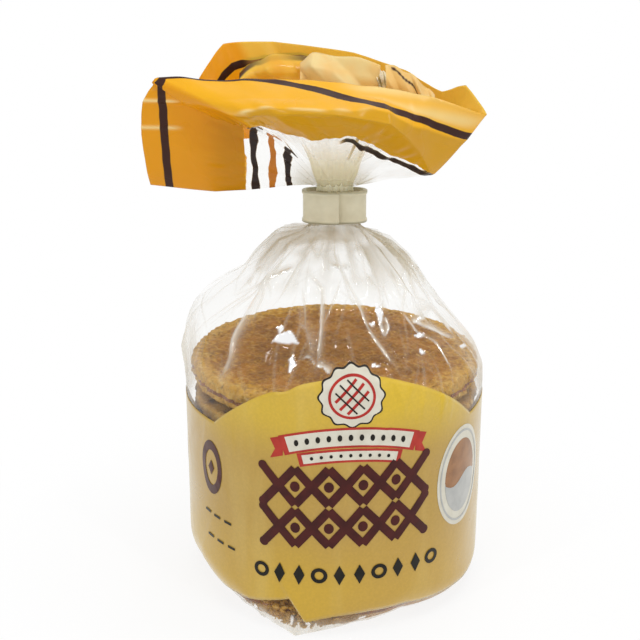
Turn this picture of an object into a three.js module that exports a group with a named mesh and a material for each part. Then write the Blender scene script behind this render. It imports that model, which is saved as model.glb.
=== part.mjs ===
// A tied film pack of stroopwafels: a clear bag drawn round an upright stack of
// eight round waffles, gathered into a clip band at the neck, with its free end
// fanned out and folded above the clip. Millimetres, +Z up, the front faces -Y.
// The origin is the centre of the flat base.
import * as THREE from 'three';

// ---- driving dimensions ----------------------------------------------------
const BODY_RADIUS = 41.9; // film drawn round the stack of 80 mm waffles
const BODY_TOP = 60; // below this height the film is a plain drum
const DRUM_ROWS = [22, 38, BODY_TOP]; // heights of the drum's rings
const BASE_RING = 18; // radius of the innermost ring of the flat base
const FOOT_ROUNDING = 8.5; // the film turns under the lowest waffle on this radius
const FOOT_STEPS = 4;
// Where the foot is rounder or squarer: degrees from +X, degrees to each side, change of radius.
const FOOT_CHANGES = [
  { turn: 202, spread: 55, extra: 8 }, // well rounded at the left
  { turn: 300, spread: 34, extra: 4 },
  { turn: 332, spread: 50, extra: -1.5 }, // squarer at the right
];
// The film's folded corner at the front of the foot; another lies opposite.
const FOOT_CORNER = {
  turn: 256.5, // degrees from +X
  spread: 28, // degrees to each side
  reach: 43.5, // its tip from the axis
  drop: 0.72, // share by which the rounding is lower there
  bulge: 1.2, // how far it still stands out above the rounding
  fade: 15, // height over which that bulge runs out
};
const CLIP_BOTTOM = 104.1;
const CLIP_HEIGHT = 8.8;
const NECK_HALF = { x: 6.6, y: 1.9 }; // gathered film inside the clip
const NECK_PLEAT = 0.3;
const NECK_FLARE = { grow: 1.9, drop: 2.2 }; // the ring below the clip, wider and lower
const NECK_ENTRY = 0.6; // the film is fully gathered this far below the clip
const PLEATS = 16;
// Slow waves round the bag by which the pleats stray from an even spacing.
const PLEAT_DRIFT = [
  { waves: 2, amount: 0.9, phase: 0 },
  { waves: 3, amount: 0.6, phase: 1 },
];
const SLEEVE_THICKNESS = 0.9; // the fanned end, thickened so that it is a solid
const AROUND = 90; // facets round the bag

// Shoulder of the bag from the drum to the clip, as [radius, height]. The left
// side stands full and high, the right side is drawn in, and the rest lies between.
const FULL_SHOULDER = [
  [41.9, 66],
  [41.6, 73.5],
  [39.0, 80.5],
  [32.5, 85.8],
  [25.5, 90],
  [21, 95.5],
  [16, 100.5],
];
const SLIM_SHOULDER = [
  [41.6, 64],
  [39.2, 69],
  [34.6, 74],
  [29.6, 79.5],
  [25, 85.5],
  [20.5, 91.5],
  [14, 98.5],
];
const PLEAT_DEPTH = [0, 0.15, 0.5, 1.0, 1.5, 2.0, 1.8]; // at each row above
const SHOULDER_STEPS = 10;
const FULLNESS = { middle: 0.55, leftRight: 0.5, backFront: 0.1 }; // how full it stands round the bag

// The fanned end of the bag, fold by fold, from the lowest fold on the left
// round by the front. Each fold runs from the throat over its crest to the lip,
// the free edge of the film.
const FOLDS = [
  { crest: [-32.4, 0, 112.2], lip: [-50, 1, 113.8] }, // left wing, lower fold
  { crest: [-38, -5, 124.5], lip: [-51, -5, 128.8] }, // left wing, front sheet
  { crest: [-34.5, -6.5, 136], lip: [-50, -6.5, 137.7] }, // valley behind the front panel
  { crest: [-27, -18, 137.5], lip: [-46, -7, 143.3] }, // front panel, left end
  { crest: [-14.5, -26, 138], lip: [-28.2, -9, 144] },
  { crest: [0, -27.5, 138.2], lip: [-8.9, -11, 144.2] }, // front panel, middle
  { crest: [14, -24.5, 135.3], lip: [10.1, -13, 143] },
  { crest: [21.5, -15, 127], lip: [25.4, -11, 139.8] },
  { crest: [26.3, -5, 118.1], lip: [39.7, -5, 134.3] }, // right fold, to the tip
  { crest: [28, 3, 122.5], lip: [34.4, 0, 141.1] }, // back corner of the tip
  { crest: [25, 9, 129], lip: [28.5, 6, 138.4] },
  { crest: [17.5, 14, 133.5], lip: [19, 13, 143] }, // back lip
  { crest: [5, 17.5, 135.5], lip: [5.2, 17, 147.1] },
  { crest: [-10, 18.5, 135.5], lip: [-17.3, 19, 149.8] },
  { crest: [-24, 14.5, 135], lip: [-30.5, 15, 149.7] }, // back left corner
  { crest: [-31, 9, 129.5], lip: [-36, 10.5, 142.5] },
  { crest: [-35, 6.5, 123], lip: [-42, 9, 132.5] }, // left wing, back sheet
  { crest: [-38, 4, 117], lip: [-47.5, 6, 121.2] },
];
const THROAT = { x: 6.2, y: 2.2, height: 114.2 }; // just above the clip
const BELLY_AT = 0.45; // share of the way from the throat to the crest
const BELLY_LIFT = 0.15; // rise of the film there, as a share of the crest's rise
const SLEEVE_ROWS = 9;
const CRISPNESS = 0.6; // 0 bends the film smoothly through its folds, 1 leaves it flat between them
const NORMAL_STEP = { around: 0.004, along: 0.02 }; // spacing of the points a normal is taken from
const THROAT_PLUG = 2; // the film closes on itself this far above the throat

const CLIP_HALF = { x: 8.15, y: 3.1 }; // centre line of the band
const CLIP_WALL = 0.9;
const CLIP_SQUARENESS = 2.5; // exponent of the band's rounded outline
const CLIP_SEAM = 0.35; // gap where its two ends meet at the front
const CLIP_FACETS = 44;

// ---- materials -------------------------------------------------------------
const filmMaterial = new THREE.MeshStandardMaterial({
  color: 0xd9a443,
  roughness: 0.28,
  metalness: 0,
});
const clipMaterial = new THREE.MeshStandardMaterial({
  color: 0xd2cbaa,
  roughness: 0.5,
  metalness: 0,
});

// ---- helpers ---------------------------------------------------------------
const lerp = THREE.MathUtils.lerp;
const QUARTER_TURN = Math.PI / 2;

// Angle from +X of the share u of a turn: u = 0 is the left, 0.25 the front.
function turnAngle(u) {
  return Math.PI * (1 + 2 * u);
}

// A bump of height 1 at `turn` degrees from +X, falling to 0 at `spread` to each side.
function bumpAt(angle, turn, spread) {
  const sharpness = 1.5;
  const off = Math.abs(((THREE.MathUtils.radToDeg(angle) - turn + 540) % 360) - 180);
  return off < spread ? (1 - off / spread) ** sharpness : 0;
}

// Uneven pleats round the bag: 1 on a ridge, -1 in a valley.
function pleatWave(angle) {
  const drift = PLEAT_DRIFT.map(({ waves, amount, phase }) => amount * Math.sin(waves * angle + phase));
  return Math.cos(PLEATS * angle + drift[0] + drift[1]);
}

// How full the shoulder stands: 1 at the left, 0 at the right.
function fullness(angle) {
  const { middle, leftRight, backFront } = FULLNESS;
  return THREE.MathUtils.clamp(middle - leftRight * Math.cos(angle) - backFront * Math.sin(angle), 0, 1);
}

function ringFrom(pointAt) {
  return Array.from({ length: AROUND }, (_, i) => pointAt(i / AROUND));
}

function ovalPoint(angle, halfX, halfY, height) {
  return new THREE.Vector3(halfX * Math.cos(angle), halfY * Math.sin(angle), height);
}

// ---- the drum: flat base, turned-in foot with its corner folds, plain wall -
function footCorner(angle) {
  const front = bumpAt(angle, FOOT_CORNER.turn, FOOT_CORNER.spread);
  const back = bumpAt(angle, FOOT_CORNER.turn - 180, FOOT_CORNER.spread);
  return Math.max(front, back);
}

function footRounding(angle) {
  return FOOT_CHANGES.reduce(
    (radius, { turn, spread, extra }) => radius + extra * bumpAt(angle, turn, spread),
    FOOT_ROUNDING,
  );
}

function footRing(turnIn) {
  return ringFrom((u) => {
    const angle = turnAngle(u);
    const corner = footCorner(angle);
    const rounding = footRounding(angle);
    const plain = BODY_RADIUS - rounding * (1 - Math.sin(turnIn));
    const height = rounding * (1 - Math.cos(turnIn)) * (1 - FOOT_CORNER.drop * corner);
    const reach = lerp(FOOT_CORNER.reach, BODY_RADIUS + FOOT_CORNER.bulge, turnIn / QUARTER_TURN);
    const radius = lerp(plain, reach, corner);
    return ovalPoint(angle, radius, radius, height);
  });
}

function drumRings() {
  const rings = [ringFrom((u) => ovalPoint(turnAngle(u), BASE_RING, BASE_RING, 0))];
  for (let step = 0; step <= FOOT_STEPS; step += 1) {
    rings.push(footRing((step / FOOT_STEPS) * QUARTER_TURN));
  }
  for (const height of DRUM_ROWS) {
    const left = Math.max(0, 1 - (height - FOOT_ROUNDING) / FOOT_CORNER.fade);
    rings.push(
      ringFrom((u) => {
        const angle = turnAngle(u);
        const radius = BODY_RADIUS + FOOT_CORNER.bulge * left * footCorner(angle);
        return ovalPoint(angle, radius, radius, height);
      }),
    );
  }
  return rings;
}

// ---- the shoulder: domed, then gathered in pleats towards the clip ---------
function shoulderRings() {
  const last = FULL_SHOULDER.length - 1;
  const profile = (rows) =>
    new THREE.CatmullRomCurve3(rows.map(([r, z]) => new THREE.Vector3(r, 0, z)));
  const full = profile(FULL_SHOULDER);
  const slim = profile(SLIM_SHOULDER);
  const rings = [];
  for (let step = 0; step <= SHOULDER_STEPS; step += 1) {
    const along = step / SHOULDER_STEPS;
    const at = along * last;
    const row = Math.min(Math.floor(at), last - 1);
    const depth = lerp(PLEAT_DEPTH[row], PLEAT_DEPTH[row + 1], at - row);
    const wide = full.getPoint(along);
    const narrow = slim.getPoint(along);
    rings.push(
      ringFrom((u) => {
        const angle = turnAngle(u);
        const share = fullness(angle);
        const radius = lerp(narrow.x, wide.x, share) + depth * pleatWave(angle);
        return ovalPoint(angle, radius, radius, lerp(narrow.z, wide.z, share));
      }),
    );
  }
  return rings;
}

// ---- the neck, gathered flat inside the clip -------------------------------
function neckRings() {
  const rows = [
    { grow: NECK_FLARE.grow, height: CLIP_BOTTOM - NECK_FLARE.drop },
    { grow: 0, height: CLIP_BOTTOM - NECK_ENTRY },
    { grow: 0, height: CLIP_BOTTOM + CLIP_HEIGHT / 2 },
    { grow: 0, height: CLIP_BOTTOM + CLIP_HEIGHT },
  ];
  return rows.map(({ grow, height }) =>
    ringFrom((u) => {
      const angle = turnAngle(u);
      const pleat = NECK_PLEAT * pleatWave(angle);
      const halfX = NECK_HALF.x + grow + pleat;
      const halfY = NECK_HALF.y + grow + pleat;
      return ovalPoint(angle, halfX, halfY, height);
    }),
  );
}

// ---- the fanned end above the clip -----------------------------------------
function throatPoint(u) {
  const angle = turnAngle(u);
  const pleat = NECK_PLEAT * pleatWave(angle);
  return ovalPoint(angle, THROAT.x + pleat, THROAT.y + pleat, THROAT.height);
}

// A curve through the points whose stretches are drawn part of the way to straight lines.
function creasedCurve(points, closed) {
  const smooth = new THREE.CatmullRomCurve3(points, closed, 'centripetal');
  const spans = closed ? points.length : points.length - 1;
  return (along) => {
    const at = along * spans;
    const span = Math.min(Math.floor(at), spans - 1);
    const straight = points[span].clone().lerp(points[(span + 1) % points.length], at - span);
    return smooth.getPoint(along).lerp(straight, CRISPNESS);
  };
}

const crestAt = creasedCurve(FOLDS.map((fold) => new THREE.Vector3(...fold.crest)), true);
const lipAt = creasedCurve(FOLDS.map((fold) => new THREE.Vector3(...fold.lip)), true);

function foldCurve(u) {
  const throat = throatPoint(u);
  const crest = crestAt(u);
  const belly = throat.clone().lerp(crest, BELLY_AT);
  belly.z += BELLY_LIFT * (crest.z - throat.z);
  return creasedCurve([throat, belly, crest, lipAt(u)], false);
}

function sleevePoint(u, along) {
  return foldCurve((u + 1) % 1)(along);
}

function sleeveNormal(u, along) {
  const low = Math.max(along - NORMAL_STEP.along, 0);
  const high = Math.min(along + NORMAL_STEP.along, 1);
  const round = sleevePoint(u + NORMAL_STEP.around, along).sub(sleevePoint(u - NORMAL_STEP.around, along));
  const up = sleevePoint(u, high).sub(sleevePoint(u, low));
  return round.cross(up).normalize();
}

function sleeveRings() {
  const outer = [];
  const inner = [];
  for (let row = 0; row <= SLEEVE_ROWS; row += 1) {
    const along = row / SLEEVE_ROWS;
    outer.push(ringFrom((u) => sleevePoint(u, along)));
    if (row > 0) {
      inner.push(
        ringFrom((u) => sleevePoint(u, along).addScaledVector(sleeveNormal(u, along), -SLEEVE_THICKNESS)),
      );
    }
  }
  return [...outer, ...inner.reverse()];
}

// ---- one closed skin over a run of rings -----------------------------------
function skinOver(rings, bottomPole, topPole) {
  const points = [bottomPole, ...rings.flat(), topPole];
  const faces = [];
  const id = (ring, i) => 1 + ring * AROUND + (i % AROUND);
  for (let i = 0; i < AROUND; i += 1) {
    faces.push(0, id(0, i + 1), id(0, i));
    for (let ring = 0; ring + 1 < rings.length; ring += 1) {
      faces.push(id(ring, i), id(ring, i + 1), id(ring + 1, i + 1));
      faces.push(id(ring, i), id(ring + 1, i + 1), id(ring + 1, i));
    }
    faces.push(points.length - 1, id(rings.length - 1, i), id(rings.length - 1, i + 1));
  }
  const geometry = new THREE.BufferGeometry().setFromPoints(points);
  geometry.setIndex(faces);
  geometry.computeVertexNormals();
  return geometry;
}

function makeBag() {
  const rings = [...drumRings(), ...shoulderRings(), ...neckRings(), ...sleeveRings()];
  const bottomPole = new THREE.Vector3(0, 0, 0);
  const topPole = new THREE.Vector3(0, 0, THROAT.height + THROAT_PLUG);
  const bag = new THREE.Mesh(skinOver(rings, bottomPole, topPole), filmMaterial);
  bag.name = 'bag';
  return bag;
}

// ---- the clip: a flattened band whose two ends meet at the front -----------
function clipOutline(offset, angle) {
  const power = 2 / CLIP_SQUARENESS;
  const cos = Math.cos(angle);
  const sin = Math.sin(angle);
  const x = Math.sign(cos) * Math.abs(cos) ** power * (CLIP_HALF.x + offset);
  const y = Math.sign(sin) * Math.abs(sin) ** power * (CLIP_HALF.y + offset);
  return new THREE.Vector2(x, y);
}

function makeClip() {
  const halfGap = (CLIP_SEAM / 2 / CLIP_HALF.x) ** (CLIP_SQUARENESS / 2); // as a turn of the outline
  const start = -QUARTER_TURN + halfGap;
  const end = 3 * QUARTER_TURN - halfGap;
  const angles = Array.from({ length: CLIP_FACETS + 1 }, (_, i) => lerp(start, end, i / CLIP_FACETS));
  const outside = angles.map((angle) => clipOutline(CLIP_WALL / 2, angle));
  const inside = angles.map((angle) => clipOutline(-CLIP_WALL / 2, angle)).reverse();
  const band = new THREE.Shape([...outside, ...inside]);
  const geometry = new THREE.ExtrudeGeometry(band, { depth: CLIP_HEIGHT, bevelEnabled: false });
  const clip = new THREE.Mesh(geometry, clipMaterial);
  clip.name = 'clip';
  clip.position.z = CLIP_BOTTOM;
  return clip;
}

const pack = new THREE.Group();
pack.add(makeBag());
pack.add(makeClip());

export default pack;
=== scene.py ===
"""A tied film pack of stroopwafels: clear printed film round a stack of eight waffles, a clip
band at the neck, and the free printed end fanned out and folded above it.
Shapes are worked out in millimetres in the CAD frame and written in metres."""

import math

import bmesh
import bpy
import numpy as np
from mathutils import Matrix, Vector


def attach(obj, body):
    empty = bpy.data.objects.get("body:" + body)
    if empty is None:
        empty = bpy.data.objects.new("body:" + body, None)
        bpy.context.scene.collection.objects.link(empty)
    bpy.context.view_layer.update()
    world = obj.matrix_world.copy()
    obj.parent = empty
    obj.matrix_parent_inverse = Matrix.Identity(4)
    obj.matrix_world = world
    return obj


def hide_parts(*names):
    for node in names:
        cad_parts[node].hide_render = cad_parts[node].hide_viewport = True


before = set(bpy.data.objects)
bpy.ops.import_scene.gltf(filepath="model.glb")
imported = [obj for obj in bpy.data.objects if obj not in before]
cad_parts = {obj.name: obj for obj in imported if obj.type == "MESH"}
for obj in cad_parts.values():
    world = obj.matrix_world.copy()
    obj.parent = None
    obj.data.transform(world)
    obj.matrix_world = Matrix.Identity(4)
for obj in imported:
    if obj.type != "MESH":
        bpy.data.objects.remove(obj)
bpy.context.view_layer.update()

MM = 0.001

# ---- sizes shared with the CAD, in millimetres ------------------------------------------------
BODY_RADIUS = 41.9
BODY_TOP = 60.0
FOOT_ROUNDING = 8.5
# Where the foot is rounder or squarer: degrees from +X, degrees to each side, change of radius.
FOOT_CHANGES = [(202, 55, 8.0), (300, 34, 4.0), (332, 50, -1.5)]
# The film's folded corner at the foot, which has a twin behind.
FOOT_CORNER_TURN = 256.5
FOOT_CORNER_SPREAD = 28.0
FOOT_CORNER_REACH = 43.5
FOOT_CORNER_DROP = 0.72
FOOT_CORNER_BULGE = 1.2
BULGE_FADE = 15.0
# Shoulder where the stack fills the film and where it falls away: radius, height.
FULL_SHOULDER = [(41.9, 66), (41.6, 73.5), (39.0, 80.5), (32.5, 85.8), (25.5, 90), (21, 95.5), (16, 100.5)]
SLIM_SHOULDER = [(41.6, 64), (39.2, 69), (34.6, 74), (29.6, 79.5), (25, 85.5), (20.5, 91.5), (14, 98.5)]
PLEAT_DEPTH = [0, 0.15, 0.5, 1.0, 1.5, 2.0, 1.8]
CLIP_BOTTOM = 104.1
CLIP_HEIGHT = 8.8
CLIP_HALF = (8.15, 3.1)
CLIP_WALL = 0.9
CLIP_SQUARENESS = 2.5
CLIP_SEAM = 0.35
NECK_HALF = (6.6, 1.9)
NECK_PLEAT = 0.3
THROAT_HALF = (6.2, 2.2)
THROAT_HEIGHT = 114.2
BELLY_AT = 0.45
BELLY_LIFT = 0.15
CRISPNESS = 0.6
# Crest and lip of each fold of the fanned end, from the lowest on the left round by the front.
FOLDS = [
    ((-32.4, 0, 112.2), (-50, 1, 113.8)),
    ((-38, -5, 124.5), (-51, -5, 128.8)),
    ((-34.5, -6.5, 136), (-50, -6.5, 137.7)),
    ((-27, -18, 137.5), (-46, -7, 143.3)),
    ((-14.5, -26, 138), (-28.2, -9, 144)),
    ((0, -27.5, 138.2), (-8.9, -11, 144.2)),
    ((14, -24.5, 135.3), (10.1, -13, 143)),
    ((21.5, -15, 127), (25.4, -11, 139.8)),
    ((26.3, -5, 118.1), (39.7, -5, 134.3)),
    ((28, 3, 122.5), (34.4, 0, 141.1)),
    ((25, 9, 129), (28.5, 6, 138.4)),
    ((17.5, 14, 133.5), (19, 13, 143)),
    ((5, 17.5, 135.5), (5.2, 17, 147.1)),
    ((-10, 18.5, 135.5), (-17.3, 19, 149.8)),
    ((-24, 14.5, 135), (-30.5, 15, 149.7)),
    ((-31, 9, 129.5), (-36, 10.5, 142.5)),
    ((-35, 6.5, 123), (-42, 9, 132.5)),
    ((-38, 4, 117), (-47.5, 6, 121.2)),
]

# ---- sizes of what only this file makes, in millimetres ---------------------------------------
PRINT_GAP = 0.05  # between the film and the printed sheet over it
PRINT_SKIN = 0.09  # thickness of printed film
INK_SKIN = 0.03
MM_PER_DEGREE = BODY_RADIUS * math.pi / 180  # round the drum
STACK_BOTTOM = 1.2
WAFFLE_COUNT = 8
WAFFLE_PITCH = 8.03
WAFFLE_THICKNESS = 7.8
WAFFLE_RADIUS = 39.9
TOP_GAP = 1.5  # the top waffle lies this much looser than the rest


# ---- small helpers ----------------------------------------------------------------------------
def lerp(a, b, share):
    return a + (b - a) * share


def smoothstep(low, high, value):
    share = np.clip((value - low) / (high - low), 0, 1)
    return share * share * (3 - 2 * share)


def window(value, low, full, still, high):
    """0 below low, 1 from full to still, 0 above high."""
    return smoothstep(low, full, value) * smoothstep(high, still, value)


def linear(red, green, blue):
    """An sRGB colour, 0 to 255, as the linear numbers that shaders take."""
    shares = [value / 255 for value in (red, green, blue)]
    return (*(s / 12.92 if s <= 0.04045 else ((s + 0.055) / 1.055) ** 2.4 for s in shares), 1.0)


def spline_segment(p0, p1, p2, p3, share):
    """Centripetal Catmull-Rom between p1 and p2, for arrays of points."""
    gaps = [np.maximum(np.linalg.norm(b - a, axis=-1, keepdims=True), 1e-8) ** 0.5
            for a, b in ((p0, p1), (p1, p2), (p2, p3))]
    start = ((p1 - p0) / gaps[0] - (p2 - p0) / (gaps[0] + gaps[1]) + (p2 - p1) / gaps[1]) * gaps[1]
    end = ((p2 - p1) / gaps[1] - (p3 - p1) / (gaps[1] + gaps[2]) + (p3 - p2) / gaps[2]) * gaps[1]
    return (p1 + start * share + (3 * p2 - 3 * p1 - 2 * start - end) * share * share
            + (2 * p1 - 2 * p2 + start + end) * share ** 3)


def closed_curve(points, turns, crispness):
    """A closed curve through the points: smooth at crispness 0, straight between them at 1."""
    points = np.asarray(points, float)
    place = turns * len(points)
    first = np.floor(place).astype(int)
    share = (place - first)[:, None]
    picked = [points[(first + step) % len(points)] for step in (-1, 0, 1, 2)]
    return lerp(spline_segment(*picked, share), lerp(picked[1], picked[2], share), crispness)


def open_curve(points, place, crispness=0.0):
    """The same through an open list of stations, each an array; place runs from 0 to 1."""
    whole = place * (len(points) - 1)
    first = min(int(whole), len(points) - 2)
    before = points[first - 1] if first > 0 else 2 * points[0] - points[1]
    after = points[first + 2] if first + 2 < len(points) else 2 * points[-1] - points[-2]
    smooth = spline_segment(before, points[first], points[first + 1], after, whole - first)
    return lerp(smooth, lerp(points[first], points[first + 1], whole - first), crispness)


def traced(points, count, crispness=0.0):
    """So many points along an open curve through a few."""
    stations = np.array(points, float)[:, None]
    return np.array([open_curve(stations, share, crispness)[0] for share in np.linspace(0, 1, count)])


def ring_points(reach, angles, height, half=(0, 0)):
    """Rings of points round the axis that reach so far beyond an oval's half widths."""
    return np.stack([(half[0] + reach) * np.cos(angles), (half[1] + reach) * np.sin(angles),
                     height + 0 * angles], -1)


def pleat_wave(angle):
    return np.cos(16 * angle + 0.9 * np.sin(2 * angle) + 0.6 * np.sin(3 * angle + 1))


def ruffle(angle, seed, waves):
    """A smooth random wave round the pack, between about -1 and 1."""
    local = np.random.default_rng(seed)
    total = np.zeros_like(angle)
    for wave in waves:
        total = total + local.uniform(0.4, 1) * np.sin(wave * angle + local.uniform(0, 2 * np.pi))
    return total / len(waves)


def gathers(turns, count, seed):
    """Flat flanks between sharp folds at uneven places round the pack, from -1 to 1."""
    local = np.random.default_rng(seed)
    places = (np.arange(count) + local.uniform(-0.3, 0.3, count)) / count
    size = local.uniform(0.35, 1.0, count) * np.where(np.arange(count) % 2, 1, -1)
    return np.interp(turns, np.r_[places[-1] - 1, places, places[0] + 1], np.r_[size[-1], size, size[0]])


def crumble(rows, columns, seed, size):
    """Fine roughness for a grid of rows that close on themselves."""
    noise = np.random.default_rng(seed).normal(0, 1, (rows, columns))
    noise = (noise + np.roll(noise, 1, 1) + np.roll(noise, -1, 1)) / 2
    noise[1:-1] = (noise[:-2] + 2 * noise[1:-1] + noise[2:]) / 3
    return noise * size


# ---- meshes -----------------------------------------------------------------------------------
def grid_normals(grid):
    """Outward normals of a grid of rows that close on themselves."""
    round_it = np.roll(grid, -1, axis=1) - np.roll(grid, 1, axis=1)
    normal = np.cross(round_it, np.gradient(grid, axis=0))
    return normal / np.maximum(np.linalg.norm(normal, axis=-1, keepdims=True), 1e-9)


def grid_ids(grid):
    return np.arange(grid.shape[0] * grid.shape[1]).reshape(grid.shape[:2])


def grid_faces(ids, closed=True, flip=False):
    """Quads between the rows of a grid of vertex numbers."""
    if closed:
        ids = np.concatenate([ids, ids[:, :1]], 1)
    faces = np.stack([ids[:-1, :-1], ids[:-1, 1:], ids[1:, 1:], ids[1:, :-1]], -1).reshape(-1, 4)
    return (faces[:, [0, 3, 2, 1]] if flip else faces).tolist()


def cap_faces(pole, ring):
    """Triangles from a pole to a closed ring of vertex numbers."""
    return [[pole, int(a), int(b)] for a, b in zip(ring, np.roll(ring, -1))]


def new_object(name, vertices, faces, material, smooth=True):
    mesh = bpy.data.meshes.new(name)
    mesh.from_pydata((np.asarray(vertices, float) * MM).tolist(), [], faces)
    mesh.validate()
    mesh.polygons.foreach_set("use_smooth", [smooth] * len(mesh.polygons))
    mesh.materials.append(material)
    mesh.update()
    piece = bpy.data.objects.new(name, mesh)
    bpy.context.scene.collection.objects.link(piece)
    return piece


def add_attribute(piece, name, values):
    layer = piece.data.attributes.new(name, "FLOAT", "POINT")
    layer.data.foreach_set("value", np.asarray(values, float).ravel())


def paint_faces(piece, material, first, last):
    """Gives a run of faces a second material."""
    piece.data.materials.append(material)
    index = np.zeros(len(piece.data.polygons), dtype=int)
    index[first:last] = 1
    piece.data.polygons.foreach_set("material_index", index)


def finish_piece(piece, node):
    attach(piece, "root")
    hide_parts(node)


def shell_between(name, outer, inner, material, lining, attributes):
    """A closed thin solid between two grids of closed rows, with a lining on its inner side.
    An attribute is one grid for both sides, or a pair of them."""
    ids = grid_ids(outer)
    faces = grid_faces(ids)
    one_side = len(faces)
    faces += grid_faces(ids + ids.size, flip=True)
    for row, flip in ((0, True), (-1, False)):
        faces += grid_faces(np.stack([ids[row], ids[row] + ids.size]), flip=flip)
    vertices = np.concatenate([outer.reshape(-1, 3), inner.reshape(-1, 3)])
    piece = new_object(name, vertices, faces, material)
    for key, values in attributes.items():
        add_attribute(piece, key, np.array(values if isinstance(values, tuple) else (values, values)))
    if lining:
        paint_faces(piece, lining, one_side, 2 * one_side)
    return piece


def sheet_solid(name, grid, thickness, material):
    """A closed thin solid over an open grid of points."""
    normal = np.cross(np.gradient(grid, axis=1), np.gradient(grid, axis=0))
    normal = normal / np.linalg.norm(normal, axis=-1, keepdims=True)
    ids = grid_ids(grid)
    rim = np.r_[ids[0, :], ids[1:, -1], ids[-1, -2::-1], ids[-2:0:-1, 0]]
    after = np.roll(rim, -1)
    faces = grid_faces(ids, closed=False) + grid_faces(ids + ids.size, closed=False, flip=True)
    faces += np.stack([after, rim, rim + ids.size, after + ids.size], -1).tolist()
    vertices = np.concatenate([grid.reshape(-1, 3), (grid - normal * thickness).reshape(-1, 3)])
    return new_object(name, vertices, faces, material)


# ---- shaders ----------------------------------------------------------------------------------
WHITE = (1, 1, 1, 1)


class Shader:
    """A node tree under construction; the methods return output sockets."""

    def __init__(self, name, owner=None):
        self.owner = owner or bpy.data.materials.new(name)
        self.owner.use_nodes = True
        self.tree = self.owner.node_tree
        self.tree.nodes.clear()

    def node(self, kind, inputs=None, **settings):
        node = self.tree.nodes.new("ShaderNode" + kind)
        for key, value in settings.items():
            setattr(node, key, value)
        for key, value in (inputs or {}).items():
            if isinstance(value, bpy.types.NodeSocket):
                self.tree.links.new(value, node.inputs[key])
            elif value is not None:
                node.inputs[key].default_value = value
        return node

    def math(self, operation, a, b, clamp=False):
        return self.node("Math", {0: a, 1: b}, operation=operation, use_clamp=clamp).outputs[0]

    def times(self, a, b):
        return self.math("MULTIPLY", a, b)

    def plus(self, a, b):
        return self.math("ADD", a, b, clamp=True)

    def attribute(self, name):
        return self.node("Attribute", attribute_name=name).outputs["Fac"]

    def place(self):
        return self.node("TexCoord").outputs["Object"]

    def height(self):
        return self.node("SeparateXYZ", {0: self.place()}).outputs["Z"]

    def noise(self, scale, detail, roughness=0.5, vector=None):
        inputs = {"Vector": vector or self.place(), "Scale": scale, "Detail": detail, "Roughness": roughness}
        return self.node("TexNoise", inputs).outputs["Fac"]

    def range(self, value, low, high, to_low=0.0, to_high=1.0):
        inputs = {"Value": value, "From Min": low, "From Max": high, "To Min": to_low, "To Max": to_high}
        return self.node("MapRange", inputs, interpolation_type="SMOOTHSTEP").outputs["Result"]

    def cloud(self, scale, detail, low, high, to_low=0.0, to_high=1.0, **kind):
        """Noise whose values from low to high become to_low to to_high."""
        return self.range(self.noise(scale, detail, **kind), low, high, to_low, to_high)

    def between(self, value, low, high, soft=0.12):
        return self.times(self.range(value, low - soft, low + soft),
                          self.range(value, high - soft, high + soft, 1.0, 0.0))

    def blend(self, share, first, second):
        return self.node("Mix", {0: share, 6: first, 7: second}, data_type="RGBA").outputs[2]

    def dimmed(self, colour, value):
        return self.node("HueSaturation", {"Color": colour, "Value": value}).outputs[0]

    def bump(self, height, strength, distance, normal=None):
        inputs = {"Height": height, "Strength": strength, "Distance": distance, "Normal": normal}
        return self.node("Bump", inputs).outputs["Normal"]

    def steepness(self, normal=None):
        """0 where the surface faces the eye, 1 at its outline."""
        slant = self.node("LayerWeight", {"Blend": 0.5, "Normal": normal}).outputs["Facing"]
        return self.math("POWER", slant, 4.0)

    def bsdf(self, kind, colour, **inputs):
        return self.node("Bsdf" + kind, {"Color": colour, **inputs}).outputs[0]

    def principled(self, colour, roughness, normal=None, specular=0.5):
        return self.node("BsdfPrincipled", {"Base Color": colour, "Roughness": roughness, "Normal": normal,
                                            "Specular IOR Level": specular}).outputs[0]

    def mix(self, share, first, second):
        return self.node("MixShader", {0: share, 1: first, 2: second}).outputs[0]

    def output(self, surface, kind="Material"):
        self.node("Output" + kind, {"Surface": surface})
        return self.owner


# ---- materials; heights in them are in metres ---------------------------------------------------
def clear_film(shader, veil):
    """Thin clear film: see-through, mirroring more at a slant, with a pale veil where creased."""
    normal = shader.bump(shader.noise(330, 2.0), 0.09, 0.0006)
    mirror = shader.plus(shader.times(shader.steepness(normal), 0.75), 0.016)
    mirror = shader.plus(mirror, shader.attribute("glint"))
    within = shader.node("NewGeometry").outputs["Backfacing"]
    mirror = shader.times(mirror, shader.range(within, 0.0, 1.0, 1.0, 0.15))
    clear = shader.bsdf("Transparent", (0.985, 0.984, 0.975, 1))
    film = shader.mix(mirror, clear, shader.bsdf("Glossy", WHITE, Roughness=0.06, Normal=normal))
    high = shader.range(shader.height(), 0.086, 0.101)
    tone = shader.blend(high, linear(254, 252, 240), linear(204, 195, 168))
    pale = shader.mix(0.5, shader.bsdf("Diffuse", tone), shader.bsdf("Translucent", tone))
    return shader.mix(veil, film, pale)


def film_material():
    shader = Shader("clear_film")
    haze = shader.cloud(90, 3.0, 0.45, 0.8, 0.0, 0.03)
    smudge = shader.cloud(60, 3.0, 0.47, 0.62, 0.0, 0.38)
    smudge = shader.times(smudge, shader.range(shader.height(), 0.086, 0.097))
    veil = shader.plus(shader.plus(haze, smudge), shader.attribute("veil"))
    return shader.output(clear_film(shader, veil))


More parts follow.
